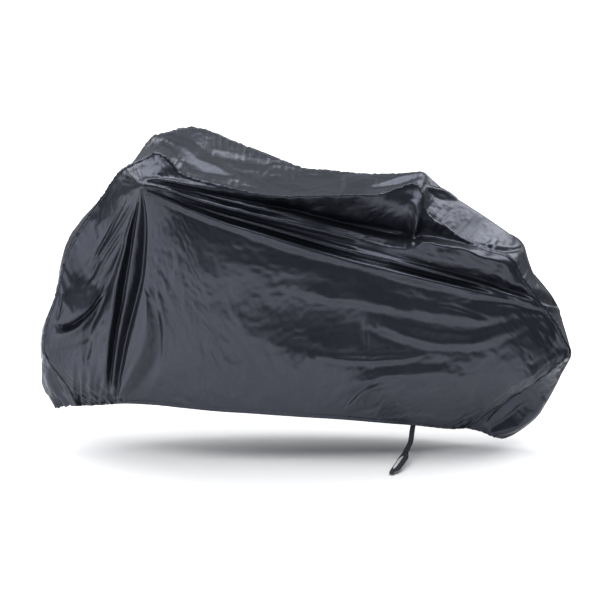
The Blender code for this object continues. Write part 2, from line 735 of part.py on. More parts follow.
def build_tie():
    """The webbing tie, a flat band that opens into a loop at its lower end."""
    path = spline_rows(TIE_PATH, 4)
    count = len(path)
    tangent = np.gradient(path, axis=0)
    tangent = tangent / np.linalg.norm(tangent, axis=1)[:, None]
    lengths = np.concatenate([[0.0], np.cumsum(np.linalg.norm(np.diff(path, axis=0), axis=1))])
    along = lengths / lengths[-1]
    across = np.array([1.0, -0.18, 0.0])
    rings = []
    for index in range(count):
        wide = across - np.dot(across, tangent[index]) * tangent[index]
        wide = wide / np.linalg.norm(wide)
        face = np.cross(wide, tangent[index])
        rings.append((path[index], wide, face))
    half = WEBBING_THICK / 2

    def corner(index, offset, level):
        middle, wide, face = rings[index]
        return tuple((middle + wide * offset + face * level - np.array(MOUNT)) * MM)

    points = []
    faces = []

    def outline(index):
        """Offsets across the band: outer left, inner left, inner right, outer right."""
        s = along[index]
        if s <= TIE_SLOT_START:
            edge = WEBBING_WIDTH / 2
            return -edge, 0.0, 0.0, edge
        part = (s - TIE_SLOT_START) / (TIE_SLOT_END - TIE_SLOT_START)
        if part <= 1.0:
            gap = TIE_SLOT_WIDTH / 2 * min(1.0, 4.0 * part, 0.35 + 4.0 * (1.0 - part))
            edge = WEBBING_WIDTH / 2 + (gap + TIE_LEG - WEBBING_WIDTH / 2) * min(1.0, 3.0 * part)
            return -edge, -gap, gap, edge
        rest = (s - TIE_SLOT_END) / (1.0 - TIE_SLOT_END)
        edge = (TIE_SLOT_WIDTH / 2 + TIE_LEG) * (1.0 - 0.62 * rest)
        return -edge, 0.0, 0.0, edge

    first_open = next(i for i in range(count) if along[i] > TIE_SLOT_START)
    last_open = max(i for i in range(count) if along[i] <= TIE_SLOT_END)
    index_of = {}

    def vertex(index, key, offset, level):
        spot = (index, key, level)
        if spot not in index_of:
            index_of[spot] = len(points)
            points.append(corner(index, offset, level))
        return index_of[spot]

    def columns(index):
        left, inner_left, inner_right, right = outline(index)
        if inner_left == inner_right:
            return [("l", left), ("m", 0.0), ("r", right)]
        return [("l", left), ("il", inner_left), ("ir", inner_right), ("r", right)]

    def quads(a, key_a, key_a2, b, key_b, key_b2):
        table_a = dict(columns(a))
        table_b = dict(columns(b))
        for level, turn in ((half, 1), (-half, -1)):
            ring = [vertex(a, key_a, table_a[key_a], level), vertex(a, key_a2, table_a[key_a2], level),
                    vertex(b, key_b2, table_b[key_b2], level), vertex(b, key_b, table_b[key_b], level)]
            clean = []
            for item in ring:
                if item not in clean:
                    clean.append(item)
            faces.append(tuple(clean if turn > 0 else reversed(clean)))

    for index in range(count - 1):
        now = [key for key, offset in columns(index)]
        later = [key for key, offset in columns(index + 1)]
        inner_now = ("m", "m") if "m" in now else ("il", "ir")
        inner_later = ("m", "m") if "m" in later else ("il", "ir")
        quads(index, "l", inner_now[0], index + 1, "l", inner_later[0])
        quads(index, inner_now[1], "r", index + 1, inner_later[1], "r")
    mesh = bpy.data.meshes.new("webbing_tie")
    top_edges = border_edges(faces)
    level_of = {number: spot for spot, number in index_of.items()}
    for a, b in top_edges:
        spot_a, spot_b = level_of[a], level_of[b]
        if spot_a[2] > 0 and spot_b[2] > 0:
            low_a = index_of[(spot_a[0], spot_a[1], -half)]
            low_b = index_of[(spot_b[0], spot_b[1], -half)]
            faces.append((b, a, low_a, low_b))
    mesh.from_pydata(points, [], faces)
    mesh.materials.append(make_material("polyester_webbing", WEBBING_COLOUR, 0.75, 0.0))
    tie = bpy.data.objects.new("webbing_tie", mesh)
    bpy.context.collection.objects.link(tie)
    tidy = bmesh.new()
    tidy.from_mesh(mesh)
    bmesh.ops.triangulate(tidy, faces=tidy.faces[:])
    bmesh.ops.recalc_face_normals(tidy, faces=tidy.faces[:])
    tidy.to_mesh(mesh)
    tidy.free()


clear_scene()
build_cover()
build_tie()
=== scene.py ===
import math
import time

import bmesh
import bpy
import numpy as np
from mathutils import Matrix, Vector, noise


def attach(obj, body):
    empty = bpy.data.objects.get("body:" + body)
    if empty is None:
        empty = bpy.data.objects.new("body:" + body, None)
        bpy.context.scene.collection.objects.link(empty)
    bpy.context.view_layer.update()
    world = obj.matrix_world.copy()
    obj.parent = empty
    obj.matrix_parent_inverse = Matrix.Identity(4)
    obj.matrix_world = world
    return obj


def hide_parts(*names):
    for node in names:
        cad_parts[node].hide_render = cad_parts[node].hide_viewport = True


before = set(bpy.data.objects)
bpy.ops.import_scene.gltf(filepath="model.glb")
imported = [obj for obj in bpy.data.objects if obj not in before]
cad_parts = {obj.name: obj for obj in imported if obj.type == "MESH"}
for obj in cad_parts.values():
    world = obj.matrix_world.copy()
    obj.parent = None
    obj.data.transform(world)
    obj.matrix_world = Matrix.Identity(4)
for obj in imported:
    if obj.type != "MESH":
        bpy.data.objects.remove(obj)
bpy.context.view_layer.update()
started = time.time()

# The drape is drawn in millimetres above the ground: x runs along the cover, v up a plane that
# leans back by lean, b out from the middle plane. placeOnSide turns it to metres from the mount.
lean = math.radians(18.0)
mountPoint = np.array([400.0, 0.0, 1000.0])
mm = 0.001
metre = 1000.0


def say(text):
    print(f"[{time.time() - started:5.1f} s] {text}")


def srgb(code, alpha=1.0):
    parts = [int(code[i:i + 2], 16) / 255.0 for i in (0, 2, 4)]
    linear = [c / 12.92 if c <= 0.04045 else ((c + 0.055) / 1.055) ** 2.4 for c in parts]
    return (*linear, alpha)


def newPiece(name, points, faces, material=None):
    mesh = bpy.data.meshes.new(name)
    mesh.from_pydata(points, [], faces)
    if material:
        mesh.materials.append(material)
    piece = bpy.data.objects.new(name, mesh)
    bpy.context.collection.objects.link(piece)
    return piece


def pickOnly(piece):
    bpy.ops.object.select_all(action="DESELECT")
    bpy.context.view_layer.objects.active = piece
    piece.select_set(True)


view = {
    "distance": 9.0,             # metres from the middle of the picture
    "elevation": 18.0,           # degrees above the horizon
    "metresAcross": 2.1,         # width that the picture takes in at the cover
    "target": (-0.393, 0.0, -0.4535),
    "sensorMm": 36.0,
    "farthest": 60.0,
    "exposure": 0.30,
    "contrast": "Medium High Contrast",
}


def addCamera():
    bpy.ops.object.select_all(action="DESELECT")
    tilt = math.radians(view["elevation"])
    back = Vector((0.0, -math.cos(tilt), math.sin(tilt)))
    spot = Vector(view["target"]) + back * view["distance"]
    bpy.ops.object.camera_add(location=spot, rotation=(math.pi / 2 - tilt, 0.0, 0.0))
    camera = bpy.context.object
    camera.name = "photoCamera"
    camera.data.sensor_width = view["sensorMm"]
    camera.data.lens = view["sensorMm"] * view["distance"] / view["metresAcross"]
    camera.data.clip_end = view["farthest"]
    bpy.context.scene.camera = camera
    settings = bpy.context.scene.view_settings
    settings.view_transform = "Standard"
    settings.look = view["contrast"]
    settings.exposure = view["exposure"]


lights = {
    # name: degrees round from the camera to the right, degrees up, spread, strength
    "ceiling": (0, 88, 70, 2.6),
    "rearRight": (125, 36, 36, 0.9),
    "rearLeft": (-128, 34, 34, 0.7),
}
lightAway = 6.0
softbox = {
    "place": (-3.0, -2.2, -0.4),   # stands on the floor at the front left
    "aim": (-0.4, 0.0, -0.45),
    "width": 3.0,
    "height": 1.1,
    "watts": 14.0,
}


def addLights():
    for name, (turn, up, spread, strength) in lights.items():
        a, e = math.radians(turn), math.radians(up)
        back = Vector((math.sin(a) * math.cos(e), -math.cos(a) * math.cos(e), math.sin(e)))
        bpy.ops.object.light_add(type="SUN", location=back * lightAway)
        lamp = bpy.context.object
        lamp.name = name
        lamp.data.energy = strength
        lamp.data.angle = math.radians(spread)
        lamp.rotation_euler = back.to_track_quat("Z", "Y").to_euler()
    bpy.ops.object.light_add(type="AREA", location=softbox["place"])
    lamp = bpy.context.object
    lamp.name = "frontLeftBox"
    lamp.data.shape = "RECTANGLE"
    lamp.data.size = softbox["width"]
    lamp.data.size_y = softbox["height"]
    lamp.data.energy = softbox["watts"]
    aim = Vector(softbox["aim"]) - Vector(softbox["place"])
    lamp.rotation_euler = aim.to_track_quat("-Z", "Y").to_euler()


def addNode(material, kind, settings=None, links=None):
    # links: input name or number -> (node, output name or number)
    node = material.node_tree.nodes.new("ShaderNode" + kind)
    for key, value in (settings or {}).items():
        if key == "inputs":
            for socket, level in value.items():
                node.inputs[socket].default_value = level
        else:
            setattr(node, key, value)
    for socket, (source, output) in (links or {}).items():
        material.node_tree.links.new(source.outputs[output], node.inputs[socket])
    return node


def newMaterial(name):
    material = bpy.data.materials.new(name)
    material.use_nodes = True
    return material


def finished(material, levels, links=None):
    # sets and links the inputs of the surface itself
    shader = material.node_tree.nodes["Principled BSDF"]
    for socket, level in levels.items():
        shader.inputs[socket].default_value = level
    for socket, (source, output) in (links or {}).items():
        material.node_tree.links.new(source.outputs[output], shader.inputs[socket])
    return material


stage = {
    "floorHeight": -1.0,         # the ground, a metre under the mount
    # corners of the white paper on the floor, which reaches further out at the front left
    "paper": ((-3.4, -3.0), (0.7, -1.06), (0.8, 2.6), (-3.0, 2.6)),
    "paperTone": "f4f4f4",
    "paperRoughness": 0.9,
    "roomTone": "e9edf6",
    "roomLight": 0.24,
}


def addStage():
    # the paper sweep is white to the camera, while the room that the cloth reflects is dimmer
    world = bpy.context.scene.world or bpy.data.worlds.new("studio")
    bpy.context.scene.world = world
    world.use_nodes = True
    room = world.node_tree.nodes["Background"]
    room.inputs["Color"].default_value = srgb(stage["roomTone"])
    room.inputs["Strength"].default_value = stage["roomLight"]
    sweep = addNode(world, "Background", {"inputs": {"Color": srgb("ffffff")}})
    rays = addNode(world, "LightPath")
    pick = addNode(world, "MixShader", None,
                   {0: (rays, "Is Camera Ray"), 1: (room, 0), 2: (sweep, 0)})
    world.node_tree.links.new(pick.outputs[0],
                              world.node_tree.nodes["World Output"].inputs["Surface"])
    paper = finished(newMaterial("matt studio paper"),
                     {"Base Color": srgb(stage["paperTone"]),
                      "Roughness": stage["paperRoughness"]})
    corners = [(x, y, stage["floorHeight"]) for x, y in stage["paper"]]
    newPiece("studioFloor", corners, [(0, 1, 2, 3)], paper)


waveMm = 314.0                   # how far apart the bands of a wave texture are at scale 1

taffetaLook = {
    "base": "16171b",            # black dyed polyester under a thin coating
    "worn": "202227",            # the same where the coating has paled at creases
    "shine": "e6ebff",           # cool light on the coating
    "roughness": (0.31, 0.42),   # from the smoothest to the most worn places
    "specular": 1.0,
    "sheen": 0.05,
    "sheenRoughness": 0.4,
    "weaveMm": 6.908,            # threads are 0.25 mm apart, drawn far coarser to show
    "grainMm": 9.0,              # fine crumple of coated cloth
    "wrinkleMm": 34.0,
    "toneSpots": 7.0,            # paler and darker places to a metre
    # strength and depth in metres of each bump, the finest first
    "bumps": {"weave": (0.10, 0.0004), "grain": (0.20, 0.0016), "wrinkle": (0.5, 0.0022)},
}


def coatedTaffeta():
    # thin coated polyester: soft bluish shine, crisp small creases, a faint plain weave
    look = taffetaLook
    material = newMaterial("coated polyester taffeta")
    place = (addNode(material, "TexCoord"), "Object")
    crease = addNode(material, "Attribute", {"attribute_name": "crumple"})
    stretch = addNode(material, "Mapping", {"inputs": {"Rotation": (0.3, 0.5, 0.2)}},
                      {"Vector": place})
    wrinkle = addNode(material, "TexNoise",
                      {"inputs": {"Scale": metre / look["wrinkleMm"], "Detail": 3.0,
                                  "Roughness": 0.55, "Distortion": 0.9}},
                      {"Vector": (stretch, "Vector")})
    fold = addNode(material, "Math", {"operation": "SUBTRACT", "inputs": {1: 0.5}},
                   {0: (wrinkle, "Fac")})
    ridge = addNode(material, "Math", {"operation": "ABSOLUTE"}, {0: (fold, 0)})
    grain = addNode(material, "TexNoise",
                    {"inputs": {"Scale": metre / look["grainMm"], "Detail": 2.0,
                                "Roughness": 0.5, "Distortion": 0.4}}, {"Vector": place})
    cut = (addNode(material, "UVMap", {"uv_map": "cut"}), "UV")
    warp, weft = (addNode(material, "TexWave",
                          {"wave_type": "BANDS", "bands_direction": way,
                           "inputs": {"Scale": waveMm / look["weaveMm"], "Distortion": 0.6,
                                      "Detail": 1.0}}, {"Vector": cut}) for way in "XY")
    weave = addNode(material, "Math", {"operation": "MULTIPLY"},
                    {0: (warp, "Fac"), 1: (weft, "Fac")})
    # grain and weave are all over, wrinkles only where the cloth is crumpled
    wrinkled = addNode(material, "Math", {"operation": "MULTIPLY"},
                       {0: (ridge, 0), 1: (crease, "Fac")})
    below = {}
    for name, height in (("weave", (weave, 0)), ("grain", (grain, "Fac")),
                         ("wrinkle", (wrinkled, 0))):
        strength, depth = look["bumps"][name]
        bump = addNode(material, "Bump",
                       {"inputs": {"Strength": strength, "Distance": depth}},
                       {"Height": height, **below})
        below = {"Normal": (bump, "Normal")}
    tone = addNode(material, "TexNoise",
                   {"inputs": {"Scale": look["toneSpots"], "Detail": 4.0, "Roughness": 0.6}},
                   {"Vector": place})
    paint = addNode(material, "Mix",
                    {"data_type": "RGBA", "inputs": {6: srgb(look["base"]), 7: srgb(look["worn"])}},
                    {0: (tone, "Fac")})
    smooth, worn = look["roughness"]
    gloss = addNode(material, "MapRange",
                    {"inputs": {"From Min": 0.3, "From Max": 0.7, "To Min": smooth,
                                "To Max": worn}}, {"Value": (tone, "Fac")})
    return finished(material, {"Specular IOR Level": look["specular"],
                               "Specular Tint": srgb(look["shine"]),
                               "Sheen Weight": look["sheen"],
                               "Sheen Roughness": look["sheenRoughness"]},
                    {"Base Color": (paint, 2), "Roughness": (gloss, 0), **below})


# dark is painted shade for the grooves between the ribs, base is the webbing's own grey
webbingLook = {"base": "4b4e56", "dark": "24262b", "roughness": 0.72, "ribMm": 2.4,
               "warpMm": 1.57, "ribStrength": 0.6, "ribDepth": 0.0008}


def wovenWebbing():
    # polyester webbing: matt ribs across the band, with painted shade darkening the grooves between
    # them
    look = webbingLook
    material = newMaterial("woven polyester webbing")
    cut = (addNode(material, "UVMap", {"uv_map": "cut"}), "UV")
    rib = addNode(material, "TexWave",
                  {"wave_type": "BANDS", "bands_direction": "Y",
                   "inputs": {"Scale": waveMm / look["ribMm"], "Distortion": 0.4, "Detail": 1.0}},
                  {"Vector": cut})
    warp = addNode(material, "TexWave",
                   {"wave_type": "BANDS", "bands_direction": "X",
                    "inputs": {"Scale": waveMm / look["warpMm"], "Distortion": 0.8}},
                   {"Vector": cut})
    cross = addNode(material, "Math", {"operation": "MULTIPLY"},
                    {0: (rib, "Fac"), 1: (warp, "Fac")})
    # painted shade: the colour goes to the dark grey where the rib height is lowest, in the grooves
    # between the ribs
    paint = addNode(material, "Mix",
                    {"data_type": "RGBA", "inputs": {6: srgb(look["dark"]), 7: srgb(look["base"])}},
                    {0: (cross, 0)})
    bump = addNode(material, "Bump",
                   {"inputs": {"Strength": look["ribStrength"], "Distance": look["ribDepth"]}},
                   {"Height": (cross, 0)})
    return finished(material, {"Roughness": look["roughness"]},
                    {"Base Color": (paint, 2), "Normal": (bump, "Normal")})


threadLook = {"tone": "2e3036", "roughness": 0.5, "sheen": 0.2}


def sewingThread():
    # polyester thread, a little lighter than the cloth so the stitches show
    return finished(newMaterial("polyester sewing thread"),
                    {"Base Color": srgb(threadLook["tone"]),
                     "Roughness": threadLook["roughness"], "Sheen Weight": threadLook["sheen"]})


# Sections of the centre strip from the front hem over the top to the rear hem:
# near seam x, v, b | crown x, v, b | far seam x, v, b, left out where it mirrors the near one |
# tent (0 round, 1 two flat slopes)
stripSections = [
    (-780, 146, 48, -860, 138, 0, 0.2),  # front hem
    (-812, 219, 70, -902, 214, 0, 0.2),
    (-861, 289, 88, -903, 289, 0, 0.1),
    (-886, 338, 98, -906, 338, 0, 0.1),  # foremost
    (-886, 380, 105, -901, 387, 0, 0.0),
    (-872, 443, 112, -889, 436, 0, -866, 443, 112, 0.0),
    (-846, 506, 120, -858, 499, 0, -838, 506, 120, 0.0),
    (-822, 579, 125, -836, 576, 0, -814, 579, 125, 0.0),
    (-798, 663, 130, -817, 665, 0, -785, 663, 130, 0.0),
    (-763, 733, 135, -790, 738, 0, -733, 733, 137, 0.0),
    (-721, 793, 140, -752, 790, 0, -682, 793, 145, 0.0),
    (-679, 849, 145, -704, 842, -5, -628, 846, 158, 0.1),
    (-644, 898, 150, -662, 889, -15, -582, 888, 172, 0.5),
    (-609, 945, 160, -614, 934, -35, -546, 930, 192, 0.6),  # front of the top
    (-567, 975, 178, -570, 985, -45, -524, 953, 202, 0.5),
    (-525, 992, 190, -528, 1022, -50, -504, 970, 206, 0.4),
    (-490, 1010, 196, -494, 1042, -45, -482, 974, 206, 0.3),  # near hump
    (-465, 1013, 198, -460, 1046, -40, -456, 979, 208, 0.2),
    (-427, 985, 200, -414, 1040, -30, -418, 986, 216, 0.1),
    (-398, 948, 200, -372, 1026, -20, -372, 986, 224, 0.0),
    (-325, 922, 198, -312, 1002, -10, -310, 974, 224, 0.0),
    (-266, 908, 195, -252, 984, 0, -248, 950, 221, 0.0),
    (-203, 891, 190, -196, 962, 0, -192, 930, 216, 0.0),
    (-126, 877, 185, -120, 942, 0, -116, 907, 208, 0.0),
    (-42, 870, 180, -40, 926, 0, -38, 881, 198, 0.0),
    (24, 870, 175, 25, 918, 0, 26, 867, 186, 0.0),
    (112, 873, 168, 112, 921, 0, 112, 869, 170, 0.0),
    (189, 875, 155, 189, 932, 0, 189, 872, 150, 0.1),
    (270, 877, 140, 270, 943, 0, 270, 876, 135, 0.2),
    (340, 900, 118, 342, 950, 0, 340, 890, 112, 0.3),
    (385, 916, 100, 392, 956, 0, 385, 900, 95, 0.4),
    (413, 908, 100, 430, 959, 0, 415, 895, 85, 0.6),  # rear peak
    (427, 877, 116, 455, 940, 0, 440, 865, 92, 0.7),
    (430, 830, 133, 495, 907, 0, 468, 825, 108, 0.8),
    (462, 790, 134, 532, 880, 0, 504, 788, 118, 0.8),
    (502, 771, 133, 574, 851, 0, 545, 768, 126, 0.8),
    (549, 737, 135, 622, 818, 0, 592, 734, 133, 0.8),
    (630, 698, 142, 684, 776, 0, 652, 696, 141, 0.7),
    (696, 679, 145, 740, 740, 0, 706, 677, 145, 0.6),
    (738, 655, 145, 778, 718, 0, 741, 654, 145, 0.4),  # rear shoulder
    (766, 604, 143, 800, 662, 0, 0.3),
    (801, 558, 140, 822, 612, 0, 0.3),
    (836, 509, 136, 864, 560, 0, 0.3),
    (873, 466, 131, 905, 506, 0, 0.3),
    (901, 424, 127, 925, 443, 0, 0.3),
    (926, 378, 121, 943, 384, 0, 0.3),
    (944, 338, 112, 959, 334, 0, 0.3),  # rearmost
    (900, 289, 104, 936, 276, 0, 0.2),
    (836, 236, 96, 908, 214, 0, 0.2),
    (766, 187, 86, 880, 158, 0, 0.2),
    (696, 142, 74, 844, 103, 0, 0.2),
    (652, 104, 62, 794, 58, 0, 0.2),
    (616, 62, 52, 730, 22, 0, 0.2),  # rear hem
]

# Hem of a side panel from the front end to the rear end: x, v, b
panelHem = [
    (-780, 146, 48), (-710, 148, 62), (-651, 153, 80), (-605, 156, 95), (-553, 155, 108),
    (-483, 151, 125), (-413, 144, 140), (-290, 132, 156), (-161, 124, 165), (7, 112, 165),
    (147, 103, 156), (304, 89, 140), (409, 80, 120), (497, 69, 95), (549, 64, 76), (588, 66, 62),
    (616, 62, 52),
]

# Each fold is a name, how crisp it is, and its path: x, v, height (minus is a groove),
# half width to the left of the path and to its right, once where they are the same.
nearFolds = [
    ("topRidge", 0.5, [(-508, 921, 3, 6), (-465, 921, 9, 9, 10), (-413, 912, 12, 10, 12),
        (-343, 901, 13, 11, 14), (-255, 891, 12, 10, 18), (-170, 883, 8, 8, 20)]),
    ("pocketHead", 0.3, [(-497, 908, -5, 6), (-448, 905, -12, 9), (-343, 887, -20, 13),
        (-238, 873, -26, 16), (-150, 856, -28, 22, 18), (-63, 840, -20, 30, 20),
        (7, 828, -8, 36, 22)]),
    ("pocket", 0.35, [(-150, 856, -2, 30, 20), (-63, 838, -26, 42, 22), (7, 824, -42, 52, 24),
        (112, 797, -54, 74, 26), (217, 766, -56, 100, 26), (304, 742, -54, 112, 26),
        (372, 728, -48, 110, 24), (394, 724, -36, 100, 20)]),
    ("ridgeOne", 0.5, [(-493, 901, 4, 4), (-413, 887, 12, 7), (-343, 873, 16, 8),
        (-255, 852, 19, 9), (-168, 831, 21, 10), (-63, 810, 22, 12, 11),
        (147, 761, 22, 14, 12), (252, 738, 20, 16, 12), (357, 716, 16, 18, 14),
        (427, 709, 10, 18, 16), (497, 705, 6, 16)]),
    ("grooveOne", 0.3, [(-465, 894, -6, 4), (-378, 877, -12, 6), (-308, 859, -16, 8, 7),
        (-168, 823, -18, 9, 8), (42, 775, -16, 10, 9), (147, 751, -12, 9, 8), (210, 737, -4, 8)]),
    ("ridgeTwo", 0.4, [(-493, 894, 4, 4, 5), (-413, 873, 12, 7, 8), (-343, 852, 16, 8, 10),
        (-168, 809, 18, 10, 13), (7, 772, 19, 11, 18), (182, 733, 17, 12, 26),
        (300, 710, 12, 14, 30), (380, 694, 4, 14, 30)]),
    ("bandCrest", 0.3, [(270, 726, 3, 14, 30), (357, 712, 18, 16, 60), (441, 714, 38, 16, 78),
        (497, 703, 54, 17, 84), (567, 692, 60, 18, 86), (637, 682, 56, 18, 84),
        (707, 664, 38, 16, 66), (752, 624, 14, 12, 40), (776, 590, 3, 10, 20)]),
    ("grooveTwo", 0.2, [(-465, 880, -3, 5), (-343, 838, -8, 8), (-168, 793, -9, 11, 10),
        (7, 751, -8, 14, 12), (182, 705, -6, 16, 14)]),
    ("ridgeThree", 0.5, [(-448, 866, 4, 5), (-343, 824, 10, 8, 7), (-168, 775, 13, 10, 9),
        (7, 726, 14, 11, 9), (182, 681, 14, 12, 9), (287, 660, 13, 12, 9),
        (357, 642, 12, 12, 9), (444, 618, 11, 12, 9), (532, 593, 10, 11, 9),
        (620, 565, 8, 10, 8), (707, 537, 6, 9, 8), (752, 523, 3, 8)]),
    ("longHollow", 0.25, [(200, 680, -2, 10, 8), (287, 664, -8, 14, 9),
        (357, 650, -12, 18, 11), (444, 632, -14, 20, 12), (532, 610, -16, 22, 12),
        (620, 586, -17, 22, 12), (707, 556, -17, 20, 12), (794, 530, -13, 16, 12),
        (838, 518, -4, 12, 10)]),
    ("grooveThree", 0.35, [(-507, 884, -5, 4), (-430, 856, -12, 6), (-343, 819, -18, 8, 9),
        (-255, 786, -20, 9, 10), (-168, 761, -22, 10, 11), (-28, 723, -22, 10, 12),
        (112, 681, -21, 10, 12), (217, 653, -21, 10, 12), (357, 618, -21, 10, 12),
        (497, 583, -20, 10, 12), (620, 555, -16, 10, 11), (707, 531, -10, 9, 10),
        (752, 515, -4, 8, 10)]),
    ("ridgeFour", 0.3, [(-500, 873, 4, 5, 8), (-430, 838, 10, 8, 12), (-343, 803, 14, 10, 16),
        (-168, 744, 17, 12, 20), (7, 688, 18, 12, 24), (182, 649, 19, 12, 26),
        (357, 600, 20, 12, 26), (532, 558, 19, 12, 26), (707, 520, 15, 12, 26),
        (800, 500, 10, 12, 24), (862, 484, 5, 10, 20)]),
    ("underFour", 0.4, [(602, 516, -3, 8), (707, 506, -8, 9), (794, 485, -9, 9),
        (862, 471, -4, 8)]),
    ("rearBulge", 0.1, [(200, 850, 2, 50, 40), (280, 828, 16, 64, 44), (340, 812, 24, 70, 46),
        (392, 800, 20, 60, 40)]),
    ("rearCrease", 0.6, [(424, 858, 10, 8, 24), (417, 838, 16, 9, 36), (411, 812, 22, 10, 44),
        (406, 783, 25, 10, 48), (401, 755, 24, 10, 44), (398, 738, 14, 9, 30)]),
    ("mainEdge", 0.5, [(-520, 884, -8, 3, 4), (-513, 818, -18, 4, 10), (-513, 765, -24, 5, 18),
        (-516, 712, -27, 5, 24), (-523, 653, -29, 6, 27), (-532, 590, -30, 6, 27),
        (-550, 527, -30, 7, 25), (-570, 457, -28, 8, 22), (-592, 380, -26, 8, 19),
        (-609, 303, -22, 7, 16), (-626, 222, -14, 6, 10), (-634, 180, -6, 5, 6)]),
    ("fanCrest", 0.5, [(-523, 870, 6, 4, 2), (-539, 793, 12, 12, 3), (-551, 730, 15, 20, 4),
        (-564, 667, 16, 24, 4), (-578, 590, 17, 25, 4), (-590, 527, 17, 23, 4),
        (-606, 457, 16, 19, 4), (-621, 380, 15, 15, 4), (-634, 303, 12, 12, 4),
        (-648, 222, 6, 8, 4)]),
    ("fanBed", 0.4, [(-527, 870, -6, 3, 4), (-546, 793, -18, 4, 9), (-560, 730, -26, 5, 12),
        (-572, 667, -30, 5, 15), (-588, 590, -33, 5, 17), (-602, 520, -34, 6, 17),
        (-618, 450, -34, 6, 16), (-634, 380, -33, 6, 14), (-644, 303, -28, 6, 12),
        (-656, 222, -14, 5, 8), (-662, 184, -5, 5)]),
    ("facetCrest", 0.4, [(-528, 874, 5, 4, 2), (-555, 800, 12, 8, 4), (-579, 737, 15, 11, 5),
        (-592, 688, 16, 13, 6), (-609, 632, 17, 14, 9), (-625, 572, 18, 14),
        (-632, 520, 18, 15, 22), (-640, 457, 18, 15, 28), (-654, 380, 17, 14, 28),
        (-663, 303, 14, 12, 24), (-676, 233, 8, 9, 16)]),
    ("facetBed", 0.3, [(-584, 720, -5, 6), (-606, 667, -12, 9, 12), (-634, 608, -16, 12, 18),
        (-662, 548, -18, 14, 22), (-690, 485, -18, 15, 22), (-714, 422, -16, 14, 20),
        (-728, 362, -11, 12, 16), (-735, 303, -5, 10, 12)]),
    ("facetFold", 0.4, [(-560, 832, 5, 4, 5), (-595, 779, 9, 5, 7), (-637, 720, 9, 6, 7),
        (-679, 664, 5, 5)]),
    ("facetLine", 0.4, [(-578, 852, -3, 3, 4), (-616, 790, -8, 4, 6), (-651, 730, -9, 5, 6),
        (-682, 681, -9, 5, 6), (-696, 646, -5, 5)]),
    ("archRoll", 0.4, [(-598, 740, 5, 5), (-626, 698, 11, 7), (-658, 650, 12, 8),
        (-693, 600, 8, 8), (-721, 569, 3, 8)]),
    ("archBed", 0.3, [(-606, 720, -4, 4), (-637, 674, -10, 6), (-668, 632, -8, 6)]),
    ("archPocket", 0.3, [(-679, 656, -8, 6), (-690, 636, -12, 7), (-700, 614, -5, 6)]),
    ("swagEdge", 0.3, [(-672, 552, 5, 5, 30), (-704, 510, 16, 6, 60), (-742, 471, 25, 6, 84),
        (-784, 446, 28, 6, 96), (-822, 440, 20, 6, 84), (-846, 448, 4, 6, 40)]),
    ("swagCrease", 0.4, [(-679, 530, -6, 4), (-714, 485, -14, 5), (-752, 454, -18, 5),
        (-790, 432, -18, 5), (-824, 427, -12, 5), (-846, 440, -2, 5)]),
    ("swagLip", 0.3, [(-651, 569, 5, 8, 5), (-682, 510, 10, 10, 5), (-714, 468, 14, 12, 5),
        (-752, 429, 17, 15, 6), (-794, 408, 17, 16, 6), (-830, 404, 10, 14, 6),
        (-850, 408, 2, 10, 6)]),
    ("underLip", 0.2, [(-690, 398, -3, 40, 10), (-712, 380, -9, 46, 12),
        (-763, 354, -11, 50, 12), (-820, 345, -9, 46, 12), (-862, 352, -3, 30, 10)]),
    ("facetHeel", 0.3, [(-756, 690, -3, 24, 20), (-752, 667, -10, 34, 32),
        (-735, 632, -16, 40, 44), (-717, 600, -15, 34, 44), (-702, 576, -5, 20, 26)]),
    ("wedgeCrest", 0.5, [(-520, 541, 4, 6, 12), (-514, 492, 12, 18, 26),
        (-516, 432, 20, 26, 40), (-525, 380, 25, 34, 46), (-542, 331, 26, 38, 44),
        (-567, 282, 22, 34), (-595, 233, 14, 26, 22), (-620, 191, 6, 14, 10)]),
    ("wedgeBed", 0.2, [(-506, 513, -4, 8, 12), (-490, 471, -8, 14, 20),
        (-478, 422, -11, 20, 30), (-474, 373, -12, 26, 38), (-484, 324, -11, 30, 42),
        (-510, 275, -9, 30, 40), (-550, 215, -4, 26, 30)]),
    ("wedgeRib", 0.5, [(-539, 345, 2, 2, 3), (-574, 275, 5, 3, 4), (-616, 198, 3, 2, 3)]),
    ("wedgeLine", 0.5, [(-556, 345, -2, 3), (-595, 272, -6, 4), (-630, 198, -4, 3)]),
    ("starOne", 0.5, [(-525, 905, 4, 2), (-560, 926, 7, 3), (-595, 947, 3, 4)]),
    ("starTwo", 0.5, [(-523, 908, 4, 2), (-550, 933, 7, 3), (-574, 954, 3, 4)]),
    ("starThree", 0.5, [(-520, 912, 4, 2), (-536, 936, 7, 3), (-551, 961, 3, 4)]),
    ("starFour", 0.5, [(-516, 912, 4, 2), (-523, 936, 6, 3), (-528, 958, 3, 4)]),
    ("starBed", 0.4, [(-528, 902, -3, 2), (-560, 908, -6, 3), (-588, 916, -3, 4)]),
    ("starBedTwo", 0.4, [(-525, 905, -3, 2), (-550, 919, -6, 3), (-584, 936, -3, 4)]),
    ("wrinkleB", 0.4, [(-483, 572, 1, 8), (-462, 450, 4, 10), (-462, 345, 4, 10),
        (-483, 258, 1, 8)]),
    ("rearFold", 0.5, [(940, 340, 2, 10), (917, 324, 8, 20, 18), (882, 296, 15, 34, 26),
        (847, 261, 20, 44, 34), (812, 236, 23, 52, 40), (777, 198, 25, 56, 44),
        (742, 170, 25, 56, 44), (707, 146, 23, 50, 40), (672, 128, 19, 44, 34),
        (637, 107, 12, 34, 26), (606, 88, 4, 20, 16)]),
    ("rearLean", 0.2, [(882, 440, 2, 14, 20), (862, 392, 10, 26, 40), (826, 345, 18, 34, 64),
        (777, 290, 22, 38, 78), (728, 228, 21, 36, 74), (680, 170, 13, 30, 54),
        (640, 128, 3, 20, 30)]),
    ("hemFold", 0.5, [(164, 132, 5, 7, 20), (178, 150, 12, 8, 34), (192, 163, 16, 9, 44),
